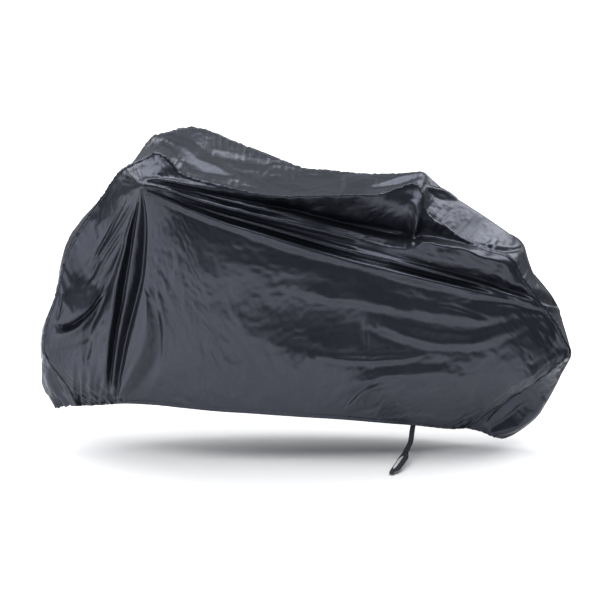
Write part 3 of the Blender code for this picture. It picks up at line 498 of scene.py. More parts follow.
        (227, 198, 17, 12, 60), (262, 210, 14, 14, 64), (300, 216, 9, 18, 60),
        (345, 219, 4, 20, 50)]),
    ("hemFoldWedge", 0.4, [(189, 128, -3, 7), (230, 137, -7, 8), (275, 147, -3, 8)]),
    ("bandOne", 0.2, [(-40, 560, 2, 26, 16), (77, 536, 5, 30, 20), (217, 518, 8, 30, 22),
        (357, 490, 9, 30, 22), (497, 472, 10, 30, 24), (619, 462, 9, 30, 24),
        (707, 472, 6, 26, 22), (830, 504, 2, 20, 16)]),
    ("bandTwo", 0.2, [(240, 440, 2, 26, 18), (357, 405, 8, 30, 22), (462, 378, 10, 30, 22),
        (602, 372, 9, 30, 22), (690, 396, 6, 26, 20), (800, 446, 2, 20, 14)]),
    ("bandThree", 0.3, [(70, 326, 2, 14, 10), (182, 310, 6, 16, 12), (322, 312, 6, 16, 12),
        (420, 326, 2, 14, 10)]),
    ("bandFour", 0.3, [(140, 190, 2, 16), (200, 228, 7, 22), (300, 252, 9, 26, 30),
        (420, 262, 8, 26, 34), (540, 262, 5, 24, 30)]),
    ("creaseFive", 0.4, [(480, 500, -2, 8), (540, 488, -6, 9), (620, 460, -5, 9),
        (650, 452, -2, 8)]),
    ("creaseSix", 0.4, [(770, 440, -2, 8), (820, 452, -5, 9), (862, 458, -3, 8)]),
    ("hemSlack", 0.2, [(-420, 190, -2, 14), (-390, 170, -5, 14), (-360, 154, -3, 12)]),
    ("softA", 0.1, [(-460, 690, -1, 12), (-440, 600, -4, 16), (-410, 520, -3, 16),
        (-395, 450, -1, 12)]),
    ("hemPeak", 0.3, [(300, 92, 2, 14), (420, 100, 7, 20), (520, 92, 6, 18), (580, 96, 3, 14)]),
]

# Folds whose path is drawn where their light or dark side shows
shadedFolds = ("ridgeOne", "grooveOne", "ridgeTwo", "grooveTwo", "ridgeThree", "longHollow",
               "grooveThree", "ridgeFour", "underFour", "creaseFive", "creaseSix")

farFolds = [
    ("tautRidge", 0.4, [(-366, 936, 8, 8, 10), (-250, 916, 18, 18, 22),
        (-130, 888, 18, 18, 24), (10, 862, 6, 12, 20)]),
    ("frontRidge", 0.4, [(-392, 934, 7, 8, 10), (-480, 900, 15, 18, 20), (-580, 850, 6, 16, 18)]),
    ("swagOne", 0.4, [(-390, 910, 7, 7, 9), (-470, 740, 19, 18, 22), (-560, 560, 20, 24, 30),
        (-640, 380, 14, 24, 28), (-690, 240, 5, 18, 20)]),
    ("swagTwo", 0.3, [(-372, 905, -6, 7, 8), (-400, 720, -17, 18, 20),
        (-460, 520, -19, 24, 26), (-540, 330, -14, 24), (-600, 200, -5, 16)]),
    ("swagThree", 0.4, [(-384, 905, 5, 6), (-425, 740, 14, 14), (-500, 540, 15, 18, 16),
        (-580, 350, 10, 16), (-640, 220, 4, 12)]),
    ("sweepOne", 0.4, [(-355, 920, 7, 8, 10), (-160, 826, 17, 18, 24), (80, 740, 18, 22, 30),
        (360, 660, 15, 22, 30), (640, 600, 5, 16, 22)]),
    ("sweepTwo", 0.3, [(-360, 905, -6, 7, 8), (-190, 780, -16, 18), (40, 670, -18, 24),
        (320, 570, -17, 24), (600, 500, -12, 20), (800, 470, -5, 14)]),
    ("sweepThree", 0.4, [(-350, 896, 6, 7), (-150, 760, 14, 16, 20), (90, 640, 16, 18, 30),
        (380, 540, 14, 18, 34), (640, 470, 6, 14, 24)]),
    ("rearFold", 0.4, [(880, 440, 4, 14, 30), (864, 400, 10, 20, 50), (829, 338, 16, 26, 60),
        (784, 285, 18, 28, 64), (742, 233, 18, 28, 60), (696, 180, 16, 24, 50),
        (654, 138, 10, 18, 34), (625, 110, 4, 12, 20)]),
    ("slackA", 0.1, [(-300, 420, -2, 20), (-120, 380, -7, 28), (60, 330, -7, 28),
        (240, 300, -2, 20)]),
    ("slackB", 0.1, [(120, 430, 2, 20), (300, 400, 7, 28), (480, 360, 7, 28), (640, 340, 2, 20)]),
]

# Folds of the centre strip, at their place as seen square to the leaning plane
stripFolds = [
    ("farRidge", 0.4, [(-504, 1090, 4, 16, 12), (-465, 1076, 9, 22, 18),
        (-430, 1055, 12, 26, 20), (-378, 1027, 13, 28, 22), (-343, 999, 12, 28, 20),
        (-290, 975, 10, 24, 18), (-238, 950, 7, 20, 14), (-189, 919, 3, 14, 10)]),
    ("farValley", 0.2, [(-448, 1045, -6, 20, 16), (-395, 1010, -13, 26, 20),
        (-325, 968, -13, 24, 20), (-255, 940, -6, 18, 14)]),
    ("humpLine", 0.5, [(-483, 1059, 4, 8), (-455, 1038, 8, 10), (-430, 1013, 9, 10),
        (-395, 982, 8, 10), (-371, 947, 3, 8)]),
    ("humpPocket", 0.3, [(-466, 1008, -8, 8), (-441, 999, -16, 10), (-420, 982, -16, 10),
        (-406, 961, -6, 8)]),
    ("underHump", 0.3, [(-357, 947, 3, 8, 10), (-308, 947, 6, 10, 14), (-231, 926, 6, 10, 14),
        (-150, 905, 2, 8, 10)]),
    ("facetEdge", 0.5, [(-360, 1124, 5, 24, 20), (-343, 1101, 9, 30, 26),
        (-315, 1073, 10, 32, 26), (-283, 1024, 5, 24, 20)]),
    ("facetFoot", 0.2, [(-283, 1020, -5, 14), (-150, 999, -6, 16, 20), (7, 982, -2, 14)]),
    ("lightTriangle", 0.5, [(-115, 971, 3, 8, 12), (-84, 992, 7, 8, 14), (7, 982, 3, 8, 12)]),
    ("crossFoldOne", 0.2, [(150, 968, -4, 12, 18), (143, 922, -9, 16, 24),
        (136, 884, -4, 12, 18)]),
    ("crossFoldTwo", 0.4, [(241, 957, -4, 8), (245, 922, -4, 8)]),
    ("peakLines", 0.5, [(287, 919, 3, 7), (357, 936, 8, 8), (420, 953, 5, 7)]),
    ("peakGroove", 0.4, [(262, 905, -3, 7), (340, 920, -7, 8), (400, 937, -4, 7)]),
    ("darkTop", 0.2, [(250, 945, -3, 12, 10), (290, 941, -8, 16, 12), (330, 944, -4, 12, 10)]),
    ("rearGroove", 0.35, [(437, 912, -3, 7), (455, 891, -6, 8, 9), (479, 870, -5, 8, 10),
        (521, 860, -3, 8, 10), (560, 852, -1, 7, 9)]),
    ("rearRidge", 0.5, [(444, 905, 5, 8), (497, 894, 9, 9), (540, 874, 5, 8, 10)]),
    ("rearFacet", 0.2, [(549, 852, 3, 26), (619, 807, 7, 30, 32), (707, 765, 7, 28, 30),
        (749, 730, 3, 20, 22)]),
    ("seamGroove", 0.4, [(584, 712, -3, 7), (654, 699, -10, 8, 9), (724, 692, -11, 8, 9),
        (770, 698, -4, 7, 8)]),
    ("notch", 0.35, [(759, 551, -8, 10), (829, 534, -20, 16, 12), (880, 514, -22, 16, 12),
        (910, 498, -14, 12, 10)]),
    ("underNotch", 0.4, [(772, 512, 4, 8, 10), (864, 492, 10, 9, 12), (906, 486, 5, 8, 10)]),
    ("rearLow", 0.3, [(690, 56, -6, 8), (749, 86, -12, 10, 12), (794, 121, -12, 10, 12),
        (826, 146, -5, 8)]),
    ("rearLowRidge", 0.3, [(700, 30, 3, 10), (775, 70, 8, 14), (840, 120, 7, 14),
        (868, 160, 3, 10)]),
    ("rearHollow", 0.1, [(916, 300, -6, 24), (868, 246, -22, 44, 34), (806, 186, -36, 54, 38),
        (742, 134, -38, 52, 36), (690, 92, -24, 38, 26), (664, 66, -6, 20, 16)]),
    ("frontSlack", 0.3, [(-880, 322, -4, 9), (-862, 262, -9, 11), (-838, 200, -9, 11),
        (-820, 160, -4, 9)]),
    ("frontSlackTwo", 0.3, [(-893, 300, 3, 9), (-880, 240, 7, 11), (-858, 180, 7, 11)]),
    ("frontStep", 0.4, [(-700, 905, -4, 8), (-668, 930, -8, 9, 10), (-640, 950, -4, 8)]),
]

# Gathers of the elastic at the two ends of the hem: x and v at the top, x at the hem, depth,
# half width
hemGathers = [
    (-763, 310, -780, 15, 11), (-735, 300, -748, 15, 11), (-703, 290, -722, 6, 8),
    (-675, 270, -712, 15, 12), (-658, 245, -690, 12, 10), (-644, 228, -672, 12, 9),
    (-798, 212, -795, 8, 7), (-703, 205, -704, 8, 7), (-682, 202, -682, 8, 7),
    (-630, 212, -645, 9, 7), (-609, 205, -623, 7, 6), (-592, 196, -603, 5, 6),
    (600, 140, 566, 7, 8), (628, 142, 594, 9, 8), (648, 140, 612, 9, 7),
]

# Where a side panel is held out or hangs in between: x, v, b
nearRest = [
    (-516, 899, 262), (-420, 800, 242), (-560, 700, 205), (-650, 640, 172), (-720, 480, 150),
    (-760, 560, 128), (-700, 590, 138), (-770, 320, 114), (-740, 225, 116), (-600, 400, 172),
    (-470, 300, 168), (-400, 600, 226), (-400, 300, 178), (-300, 250, 178), (-300, 450, 203),
    (-200, 700, 226), (-220, 520, 208), (-126, 397, 195), (-200, 250, 177), (-45, 310, 186),
    (42, 222, 180), (0, 620, 190), (0, 480, 176), (100, 430, 173), (100, 300, 192),
    (200, 600, 172), (200, 440, 173), (200, 300, 194), (200, 220, 190), (400, 600, 170),
    (400, 460, 172), (400, 330, 186), (400, 230, 184), (560, 560, 166), (560, 400, 170),
    (560, 240, 168), (700, 420, 160), (760, 320, 138), (100, 790, 140), (260, 790, 118),
    (350, 770, 116), (412, 745, 152), (421, 790, 142), (600, 640, 132),
]
farRest = [
    (-378, 940, 276), (-430, 880, 268), (-320, 890, 268), (-560, 700, 205), (-650, 640, 172),
    (-720, 480, 142), (-760, 300, 112), (-600, 400, 170), (-400, 600, 226), (-200, 700, 212),
    (-200, 450, 210), (-200, 250, 190), (0, 600, 196), (0, 350, 192), (200, 650, 180),
    (200, 350, 184), (400, 560, 178), (400, 260, 164), (560, 450, 172), (700, 420, 158),
    (760, 320, 136), (260, 790, 140),
]

# Crumpled places: centre x, v | half sizes | direction of the creases in degrees | height,
# spacing along and across the creases
panelCrumples = [
    (700, 300, 120, 90, 38, 1.0, 90, 24),
    (-840, 392, 48, 44, 30, 2.4, 52, 30),
    (-640, 900, 60, 50, 40, 1.6, 80, 24),
]
stripCrumples = [
    (480, 800, 90, 60, -35, 0.8, 120, 50),
    (800, 620, 90, 120, -60, 1.2, 130, 36),
    (-60, 930, 240, 50, 5, 1.0, 170, 46),
    (330, 920, 120, 40, 15, 1.2, 110, 30),
    (-520, 1040, 90, 60, 50, 1.4, 110, 40),
    (-660, 900, 90, 90, 50, 1.6, 90, 30),
    (-820, 560, 60, 260, 75, 1.8, 90, 26),
    (-880, 260, 60, 140, 80, 1.8, 90, 26),
    (930, 330, 50, 90, 70, 1.2, 90, 30),
]
# Slack places that buckle when the cloth is let go, in the same terms
panelSlack = [
    (100, 430, 380, 250, -16, 2.2, 230, 56),
    (-280, 420, 220, 280, -54, 2.0, 200, 48),
    (430, 300, 260, 180, 10, 3.0, 170, 44),
    (430, 170, 200, 100, 36, 3.0, 120, 34),
    (720, 290, 120, 110, 38, 0.9, 120, 34),
    (200, 640, 420, 70, -16, 1.6, 240, 30),
]


steps = {"section": 12, "hem": 10, "fold": 6, "tie": 14}     # between two drawn places


def catmullRom(p0, p1, p2, p3, t):
    return 0.5 * (2 * p1 + (p2 - p0) * t + (2 * p0 - 5 * p1 + 4 * p2 - p3) * t * t
                  + (3 * p1 - p0 - 3 * p2 + p3) * t ** 3)


def splineRows(rows, count):
    rows = np.asarray(rows, float)
    padded = np.vstack([2 * rows[0] - rows[1], rows, 2 * rows[-1] - rows[-2]])
    found = [catmullRom(*padded[index - 1:index + 3], part / count)
             for index in range(1, len(padded) - 2) for part in range(count)]
    return np.array(found + [rows[-1]])


def lengthsAlong(points):
    parts = np.linalg.norm(np.diff(points, axis=0), axis=1)
    return np.concatenate([[0.0], np.cumsum(parts)])


def atLengths(rows, lengths, wanted):
    return np.column_stack([np.interp(wanted, lengths, rows[:, k]) for k in range(rows.shape[1])])


def unit(rows):
    return rows / np.maximum(np.linalg.norm(rows, axis=-1), 1e-12)[..., None]


def placeOnSide(points, side):
    # (x, v, b) on the near (-1) or far (+1) half to metres from the mount
    x, v, b = points[:, 0], points[:, 1], points[:, 2]
    z = (v + b * math.sin(lean)) / math.cos(lean)
    return (np.column_stack([x, side * b, z]) - mountPoint) * mm


def seenSquare(points):
    # (x, v) of placed points, as seen square to the leaning plane
    whole = points / mm + mountPoint
    return np.column_stack([whole[:, 0],
                            whole[:, 2] * math.cos(lean) + whole[:, 1] * math.sin(lean)])


def thinPlate(centres, values, ease=2e-5):
    # the smoothest surface near the values at the centres, as a function of (x, v) points
    scaled = centres / metre
    count = len(scaled)

    def kernel(spots):
        distance = np.linalg.norm(spots[:, None, :] - scaled[None, :, :], axis=2)
        return distance ** 2 * np.log(np.maximum(distance, 1e-9))

    system = np.zeros((count + 3, count + 3))
    system[:count, :count] = kernel(scaled) + np.eye(count) * ease
    system[:count, count] = 1.0
    system[:count, count + 1:] = scaled
    system[count:, :count] = system[:count, count:].T
    weights = np.linalg.solve(system, np.concatenate([values, np.zeros(3)]))

    def height(points):
        spots = points / metre
        return kernel(spots) @ weights[:count] + weights[count] + spots @ weights[count + 1:]

    return height


foldLook = {
    "pieceMm": 18.0,             # length of the straight pieces that a path is cut into
    "spread": 1.55,              # how far a fold reaches, in half widths
    "tentPower": 1.5,            # hollow flanks of a crisp fold
    "shaded": 0.6,               # share of the right half that a shaded path lies beside it
}


def foldHeight(points, fold):
    # height of one fold at each (x, v) point
    name, crisp, path = fold
    dense = splineRows([row if len(row) == 5 else (*row, row[-1]) for row in path],
                       steps["fold"])
    if name in shadedFolds:
        run = np.gradient(dense[:, :2], axis=0)
        run /= np.linalg.norm(run, axis=1)[:, None]
        dense[:, 0] -= run[:, 1] * dense[:, 4] * foldLook["shaded"]
        dense[:, 1] += run[:, 0] * dense[:, 4] * foldLook["shaded"]
    lengths = lengthsAlong(dense[:, :2])
    count = max(3, int(lengths[-1] / foldLook["pieceMm"]))
    line = atLengths(dense, lengths, np.linspace(0.0, lengths[-1], count))
    best = np.full(len(points), 1e9)
    signed = np.zeros(len(points))
    found = np.ones((len(points), 3))
    for start, end in zip(line[:-1], line[1:]):
        run = end[:2] - start[:2]
        length = np.linalg.norm(run)
        run = run / length
        away = points - start[:2]
        part = np.clip(away @ run / length, 0.0, 1.0)
        distance = np.linalg.norm(away - part[:, None] * length * run, axis=1)
        closer = distance < best
        best = np.where(closer, distance, best)
        signed = np.where(closer, run[0] * away[:, 1] - run[1] * away[:, 0], signed)
        here = start[None, 2:] + part[:, None] * (end - start)[None, 2:]
        found = np.where(closer[:, None], here, found)
    height, left, right = found.T
    width = np.where(signed > 0, left, right) * foldLook["spread"]
    q = np.clip(best / np.maximum(width, 1.0), 0.0, 1.0)
    return height * ((1.0 - crisp) * (1.0 - q * q) ** 2
                     + crisp * (1.0 - q) ** foldLook["tentPower"])


def distanceTo(points, line):
    best = np.full(len(points), 1e9)
    for start, end in zip(line[:-1], line[1:]):
        run = end - start
        length = np.linalg.norm(run)
        away = points - start
        part = np.clip(away @ run / (length * length), 0.0, 1.0)
        best = np.minimum(best, np.linalg.norm(away - part[:, None] * run, axis=1))
    return best


def crumpleAt(a, c, offset):
    # crisp creases of crumpled cloth
    bend = noise.noise((a * 0.7, c * 0.4, offset + 5.0))
    first = abs(noise.noise((a + 0.5 * bend, c + 0.9 * bend, offset)))
    second = abs(noise.noise((a * 2.3 + bend, c * 1.9, offset + 9.0)))
    return 1.1 - 3.2 * first - 1.2 * second


def slackAt(a, c, offset):
    # soft uneven waves
    bend = noise.noise((a * 0.5, c * 0.3, offset + 4.0))
    return noise.noise((a, c + 1.2 * bend, offset))


crumple = {"shape": crumpleAt, "gain": 2.2, "apart": 17.3}
slack = {"shape": slackAt, "gain": 1.6, "apart": 11.9}


def heightIn(points, places, look, shift):
    # the look's height, only in the places named, and how much of it each point has
    height = np.zeros(len(points))
    mask = np.zeros(len(points))
    for number, (cx, cv, rx, rv, angle, rise, along, across) in enumerate(places):
        away = points - np.array([cx, cv])
        inside = 1.0 - np.sqrt((away[:, 0] / rx) ** 2 + (away[:, 1] / rv) ** 2)
        weight = np.clip(inside * look["gain"], 0.0, 1.0)
        turn = math.radians(angle)
        onward = away[:, 0] * math.cos(turn) + away[:, 1] * math.sin(turn)
        aside = -away[:, 0] * math.sin(turn) + away[:, 1] * math.cos(turn)
        for index in np.nonzero(weight > 0.0)[0]:
            height[index] += rise * weight[index] * look["shape"](
                onward[index] / along, aside[index] / across, look["apart"] * number + shift)
        mask = np.maximum(mask, weight)
    return height, mask


def gridLines(count, peaks):
    # 0 to 1 in count steps, closer together round each (place, spread, gain)
    fine = np.linspace(0.0, 1.0, 2001)
    density = np.ones_like(fine)
    for place, spread, gain in peaks:
        density += gain * np.exp(-((fine - place) / spread) ** 2)
    total = np.concatenate([[0.0], np.cumsum((density[1:] + density[:-1]) / 2)])
    return np.interp(np.linspace(0.0, total[-1], count), total, fine)


elastic = {
    "frontTo": -560.0, "rearFrom": 470.0,    # x that it runs to from each end of the hem
    "fade": 60.0, "pleatMm": 9.0, "deep": 15.0, "reach": 30.0, "leastReach": 8.0,
    "farthest": 130.0,                       # the pleats have died out here
    "fine": (0.75, 90.0), "coarse": (0.30, 140.0),     # share of the pitch, mm up the cloth
}


def elasticPleats(hemPlace, toHem, shift):
    # short pleats where the hem is drawn in at both ends
    front = np.clip((elastic["frontTo"] - hemPlace) / elastic["fade"], 0.0, 1.0)
    rear = np.clip((hemPlace - elastic["rearFrom"]) / elastic["fade"], 0.0, 1.0)
    drawn = np.maximum(front, rear)
    lift = np.zeros(len(hemPlace))
    for index in np.nonzero((drawn > 0.0) & (toHem < elastic["farthest"]))[0]:
        place = hemPlace[index] / elastic["pleatMm"]
        fine, coarse = (noise.noise((place * share, start, toHem[index] / up))
                        for start, (share, up) in ((shift, elastic["fine"]),
                                                   (shift + 3.0, elastic["coarse"])))
        reach = elastic["reach"] * (1.0 + 0.9 * coarse)
        drop = math.exp(-toHem[index] / max(reach, elastic["leastReach"]))
        lift[index] = elastic["deep"] * drawn[index] * (1.5 * fine - 0.5) * drop
    return lift


# Each panel: its grid, closer in places | point that holds it up: x, v, height, reach | where
# its noise starts for pleats, crumples and slack | cloth in metres | cut in metres
panelNear = {"side": -1, "columns": 380, "columnPeaks": [(0.31, 0.05, 1.6), (0.66, 0.03, 0.8)],
             "rows": 122, "rowPeaks": [(0.86, 0.12, 0.9)], "peak": (-516, 899, 64, 92),
             "shifts": (11.0, 3.0, 60.0), "thick": 0.0009, "flat": (1.22, 1.90), "area": 1.62}
panelFar = {"side": 1, "columns": 300, "columnPeaks": [(0.36, 0.06, 0.8)],
            "rows": 96, "rowPeaks": [(0.86, 0.14, 0.5)], "peak": (-378, 940, 36, 90),
            "shifts": (31.0, 40.0, 90.0), "thick": 0.0009, "flat": (1.22, 1.90), "area": 1.62}
drape = {
    "edgeHold": 45.0,            # how far the true seam and hem pull the sheet along, in mm
    "foldFade": (30.0, 34.0),    # folds die out this near the seam and the hem
    "gatherFade": 16.0, "smallFade": 14.0,
    "evenHem": 0.35,             # share of even spacing in the grid's columns at the hem
    "peakRound": 36.0, "peakSharp": 1.6,
    "gatherCrisp": 0.3,
}


def panelSurface(seam, rest, folds, panel):
    side = panel["side"]
    pleatShift, crumpleShift, slackShift = panel["shifts"]
    seamLengths = lengthsAlong(placeOnSide(seam, side) / mm)
    u = gridLines(panel["columns"], panel["columnPeaks"])
    w = gridLines(panel["rows"], panel["rowPeaks"])
    top = atLengths(seam, seamLengths, u * seamLengths[-1])
    hem = splineRows(panelHem, steps["hem"])
    hemLengths = lengthsAlong(hem)
    uHem = gridLines(panel["columns"], [])
    bottom = atLengths(hem, hemLengths, (drape["evenHem"] * uHem + (1.0 - drape["evenHem"]) * u)
                       * hemLengths[-1])
    flat = bottom[None, :, :2] + (top[:, :2] - bottom[:, :2])[None] * w[:, None, None]
    points = flat.reshape(-1, 2)

    sparse = np.vstack([seam[::steps["section"]], hem[steps["hem"]:-steps["hem"]:steps["hem"]]])
    restRows = np.asarray(rest, float)
    sheet = thinPlate(np.vstack([sparse[:, :2], restRows[:, :2]]),
                      np.concatenate([sparse[:, 2], restRows[:, 2]]))
    base = sheet(points).reshape(len(w), len(u))
    toSeam = distanceTo(points, seam[::3, :2])
    toHem = distanceTo(points, hem[::4, :2])
    # the sheet passes exactly through its seam and its hem
    seamPull, hemPull = (np.exp(-far.reshape(base.shape) / drape["edgeHold"])
                         for far in (toSeam, toHem))
    base = base + (top[:, 2] - base[-1])[None] * seamPull + (bottom[:, 2] - base[0])[None] * hemPull
    base[-1] = top[:, 2]
    base[0] = bottom[:, 2]

    def fade(far, width):
        return np.clip(far / width, 0.0, 1.0)

    peakX, peakV, rise, reach = panel["peak"]
    away = np.linalg.norm(points - np.array([peakX, peakV]), axis=1)
    lift = rise * np.exp(-np.sqrt(away ** 2 + drape["peakRound"]) / reach * drape["peakSharp"])
    for fold in folds:
        lift += foldHeight(points, fold)
    lift *= fade(toSeam, drape["foldFade"][0]) * fade(toHem, drape["foldFade"][1])
    gathered = np.zeros(len(points))
    for x, v, hemX, depth, width in hemGathers:
        hemV = np.interp(hemX, hem[:, 0], hem[:, 1])
        path = [(x, v, 0, width * 0.9),
                (x + 0.4 * (hemX - x), v + 0.4 * (hemV - v), -depth * 0.7, width),
                (x + 0.8 * (hemX - x), v + 0.8 * (hemV - v), -depth, width),
                (hemX, hemV - 6, -depth * 0.7, width)]
        gathered += foldHeight(points, ("gather", drape["gatherCrisp"], path))
    lift += gathered * fade(toSeam, drape["gatherFade"])
    hemPlace = np.broadcast_to(bottom[None, :, 0], base.shape).ravel()
    nearSeamFade = fade(toSeam, drape["smallFade"])
    lift += elasticPleats(hemPlace, toHem, pleatShift) * nearSeamFade
    crumpled, mask = heightIn(points, panelCrumples, crumple, crumpleShift)
    crumpled += heightIn(points, panelSlack, slack, slackShift)[0]
    lift += crumpled * nearSeamFade * fade(toHem, drape["smallFade"])
    spots = placeOnSide(np.column_stack([points, base.ravel() + lift]), side)
    return spots.reshape(len(w), len(u), 3), flat, mask


def gridFaces(rows, columns, outward=True):
    faces = []
    for row in range(rows - 1):
        for column in range(columns - 1):
            a = row * columns + column
            corners = (a, a + 1, a + columns + 1, a + columns)
            faces.append(corners if outward else corners[::-1])
    return faces


def smoothBetween(values, wanted):
    # cubic interpolation of a grid's first axis at the wanted fractional rows
    low = np.clip(np.floor(wanted).astype(int), 0, len(values) - 2)
    around = [values[np.clip(low + k, 0, len(values) - 1)] for k in (-1, 0, 1, 2)]
    return catmullRom(*around, (wanted - low)[:, None, None])


# How each sheet is let go: how many rows and columns buckle | columns shorter than this, in
# metres, stay | how firmly points are held, and more so over this many columns at the two
# ends | share that the cut is larger than it hangs
settling = {
    "near": {"rows": 74, "columns": 200, "shortest": 0.16, "hold": 0.004, "holdEnds": 0.10,
             "ends": 46.0, "cutLarger": 0.0075, "seed": 5.0, "bend": 0.5, "quality": 6,
             "frames": 20},
    "far": {"rows": 60, "columns": 150, "shortest": 0.16, "hold": 0.004, "holdEnds": 0.06,
            "ends": 30.0, "cutLarger": 0.008, "seed": 25.0, "bend": 0.8, "quality": 5,
            "frames": 18},
    "strip": {"rows": 300, "columns": 40, "shortest": 0.0, "hold": 0.01, "holdEnds": 0.0,
              "ends": 4.0, "cutLarger": 0.005, "seed": 15.0, "bend": 0.8, "quality": 6,
              "frames": 18},
}
thinCloth = {                    # what the cloth solver is told of the taffeta
    "mass": 0.06, "tension_stiffness": 12.0, "compression_stiffness": 12.0,
    "shear_stiffness": 3.6, "tension_damping": 12.0, "compression_damping": 12.0,
    "bending_damping": 0.6, "air_damping": 3.0, "pin_stiffness": 1.0,
}
edgeHold = {"share": 0.35, "rings": 5.0, "uneven": 0.8}


def settled(name, grid):
    # the draped sheet is let go a little as thin cloth, cut slightly larger than it hangs,
    # so it buckles between its folds
    look = settling[name]
    rows, columns = grid.shape[:2]
    pickRow = np.unique(np.linspace(0, rows - 1, look["rows"]).round().astype(int))
    # where the sheet runs out to nothing at its two ends it is left as it hangs
    tallest = np.linalg.norm(grid[-1] - grid[0], axis=1)
    tall = np.nonzero(tallest > look["shortest"])[0]
    pickColumn = np.unique(np.linspace(tall[0], tall[-1], look["columns"]).round().astype(int))
    coarse = grid[pickRow][:, pickColumn]
    high, wide = coarse.shape[:2]
    cloth = newPiece(name + "Cloth", [tuple(p) for p in coarse.reshape(-1, 3)],
                     gridFaces(high, wide))
    pickOnly(cloth)
    held = cloth.vertex_groups.new(name="held")
    for index in range(high * wide):
        row, column = divmod(index, wide)
        fromEnd = min(column, wide - 1 - column)
        fromEdge = min(row, high - 1 - row, fromEnd)
        place = coarse[row, column]
        loose = noise.noise((place[0] * 4.0, place[2] * 5.0, look["seed"]))
        weight = 1.0 if fromEdge < 1 else look["hold"] * (1.0 + edgeHold["uneven"] * loose) \
            + edgeHold["share"] * max(0.0, 1.0 - fromEdge / edgeHold["rings"]) \
            + look["holdEnds"] * max(0.0, 1.0 - fromEnd / look["ends"])
        held.add([index], min(weight, 1.0), "REPLACE")
    bpy.ops.object.modifier_add(type="CLOTH")
    solver = cloth.modifiers[-1]
    for key, value in thinCloth.items():
        setattr(solver.settings, key, value)
    solver.settings.quality = look["quality"]
    solver.settings.bending_stiffness = look["bend"]
    solver.settings.vertex_group_mass = "held"
    solver.settings.shrink_min = -look["cutLarger"]
    solver.settings.effector_weights.gravity = 0.0    # it already hangs
    solver.collision_settings.use_collision = False
    solver.point_cache.frame_start = 1
    solver.point_cache.frame_end = look["frames"]
    scene = bpy.context.scene
    for step in range(1, look["frames"] + 1):
        scene.frame_set(step)
    seen = cloth.evaluated_get(bpy.context.evaluated_depsgraph_get())
    places = np.empty(high * wide * 3)
    seen.data.vertices.foreach_get("co", places)
    scene.frame_set(1)
    moved = places.reshape(high, wide, 3) - coarse
    bpy.data.objects.remove(cloth)
    say(name + " cloth settled, moved up to %.1f mm" % (np.abs(moved).max() / mm))
    rowAt = np.interp(np.arange(rows), pickRow, np.arange(high))
    columnAt = np.interp(np.arange(columns), pickColumn, np.arange(wide))
    fine = smoothBetween(moved, rowAt)
    fine = smoothBetween(fine.transpose(1, 0, 2), columnAt).transpose(1, 0, 2)
    fine[:, :pickColumn[0]] = 0.0
    fine[:, pickColumn[-1] + 1:] = 0.0
    return grid + fine


def addCut(mesh, flat):
    # the flat cut as UVs in metres, with one place for each point of the mesh
    layer = mesh.uv_layers.new(name="cut")
    index = np.empty(len(mesh.loops), int)
    mesh.loops.foreach_get("vertex_index", index)
    layer.data.foreach_set("uv", flat[index].ravel())


def cutGrid(across, along):
    # the flat cut of a straight band
    return np.stack(np.broadcast_arrays(across[None, :], along[:, None]), axis=2)


weld = {"within": 0.00005, "shortest": 0.00002}      # metres


def weldEnds(piece):
    # the points that meet where a sheet runs out to nothing become one
    mesh = bmesh.new()
    mesh.from_mesh(piece.data)
    bmesh.ops.remove_doubles(mesh, verts=mesh.verts[:], dist=weld["within"])
    bmesh.ops.dissolve_degenerate(mesh, edges=mesh.edges[:], dist=weld["shortest"])
    mesh.to_mesh(piece.data)
    mesh.free()


def sheetObject(name, grid, cut, mask, thick, material, outward):
    # a closed cloth from a grid of points, with its flat cut
    rows, columns = grid.shape[:2]
    piece = newPiece(name, [tuple(p) for p in grid.reshape(-1, 3)],
                     gridFaces(rows, columns, outward), material)
    addCut(piece.data, cut.reshape(-1, 2) * mm)
    attribute = piece.data.attributes.new("crumple", "FLOAT", "POINT")
    attribute.data.foreach_set("value", np.asarray(mask, float).ravel())
    pickOnly(piece)
    weldEnds(piece)
    bpy.ops.object.shade_smooth()
    solid = piece.modifiers.new("cloth", "SOLIDIFY")
    solid.thickness = thick
    solid.offset = -1.0
    bpy.ops.object.modifier_apply(modifier=solid.name)
    return piece


stripCut = {"rows": 700, "across": 60, "thick": 0.0009, "flat": (0.36, 3.5)}
stripDrape = {
    "crumpleShift": 70.0,
    "turnedAway": 4.0,           # how fast the folds die out where the strip turns away
    "edgeFade": 0.14,            # share of the half width over which the folds die out
    "pleatsTo": 120.0,           # mm from each hem that the elastic draws in
    "hemAcross": 220.0, "frontHem": -700.0, "rearHem": 600.0, "pleatShift": 90.0,
    "cutHalf": 180.0,
}


def stripSurface(sections):
    near = placeOnSide(sections[:, 0:3], -1)
    crown = placeOnSide(sections[:, 3:6], -1)
    far = placeOnSide(sections[:, 6:9], 1)
    tent = sections[:, 9][:, None]
    t = np.linspace(0.0, 1.0, stripCut["across"])
    knee = 2.0 * crown - 0.5 * (near + far)
    grid = np.zeros((len(sections), len(t), 3))
    for cell, part in enumerate(t):
        arc = (1 - part) ** 2 * near + 2 * part * (1 - part) * knee + part * part * far
        if part < 0.5:
            straight = near + (crown - near) * 2 * part
        else:
            straight = crown + (far - crown) * (2 * part - 1)
        # a slope that is only a little rounded at its crown
        grid[:, cell] = arc + (straight - arc) * tent
    return grid


def gridNormals(grid):
    return unit(np.cross(np.gradient(grid, axis=0), np.gradient(grid, axis=1)))


pucker = {"smallMm": 13.0, "largeMm": 34.0, "fade": 60.0,
          "up": (2.6, 2.2), "out": (1.8, -1.4)}       # mm of the small and the large waves


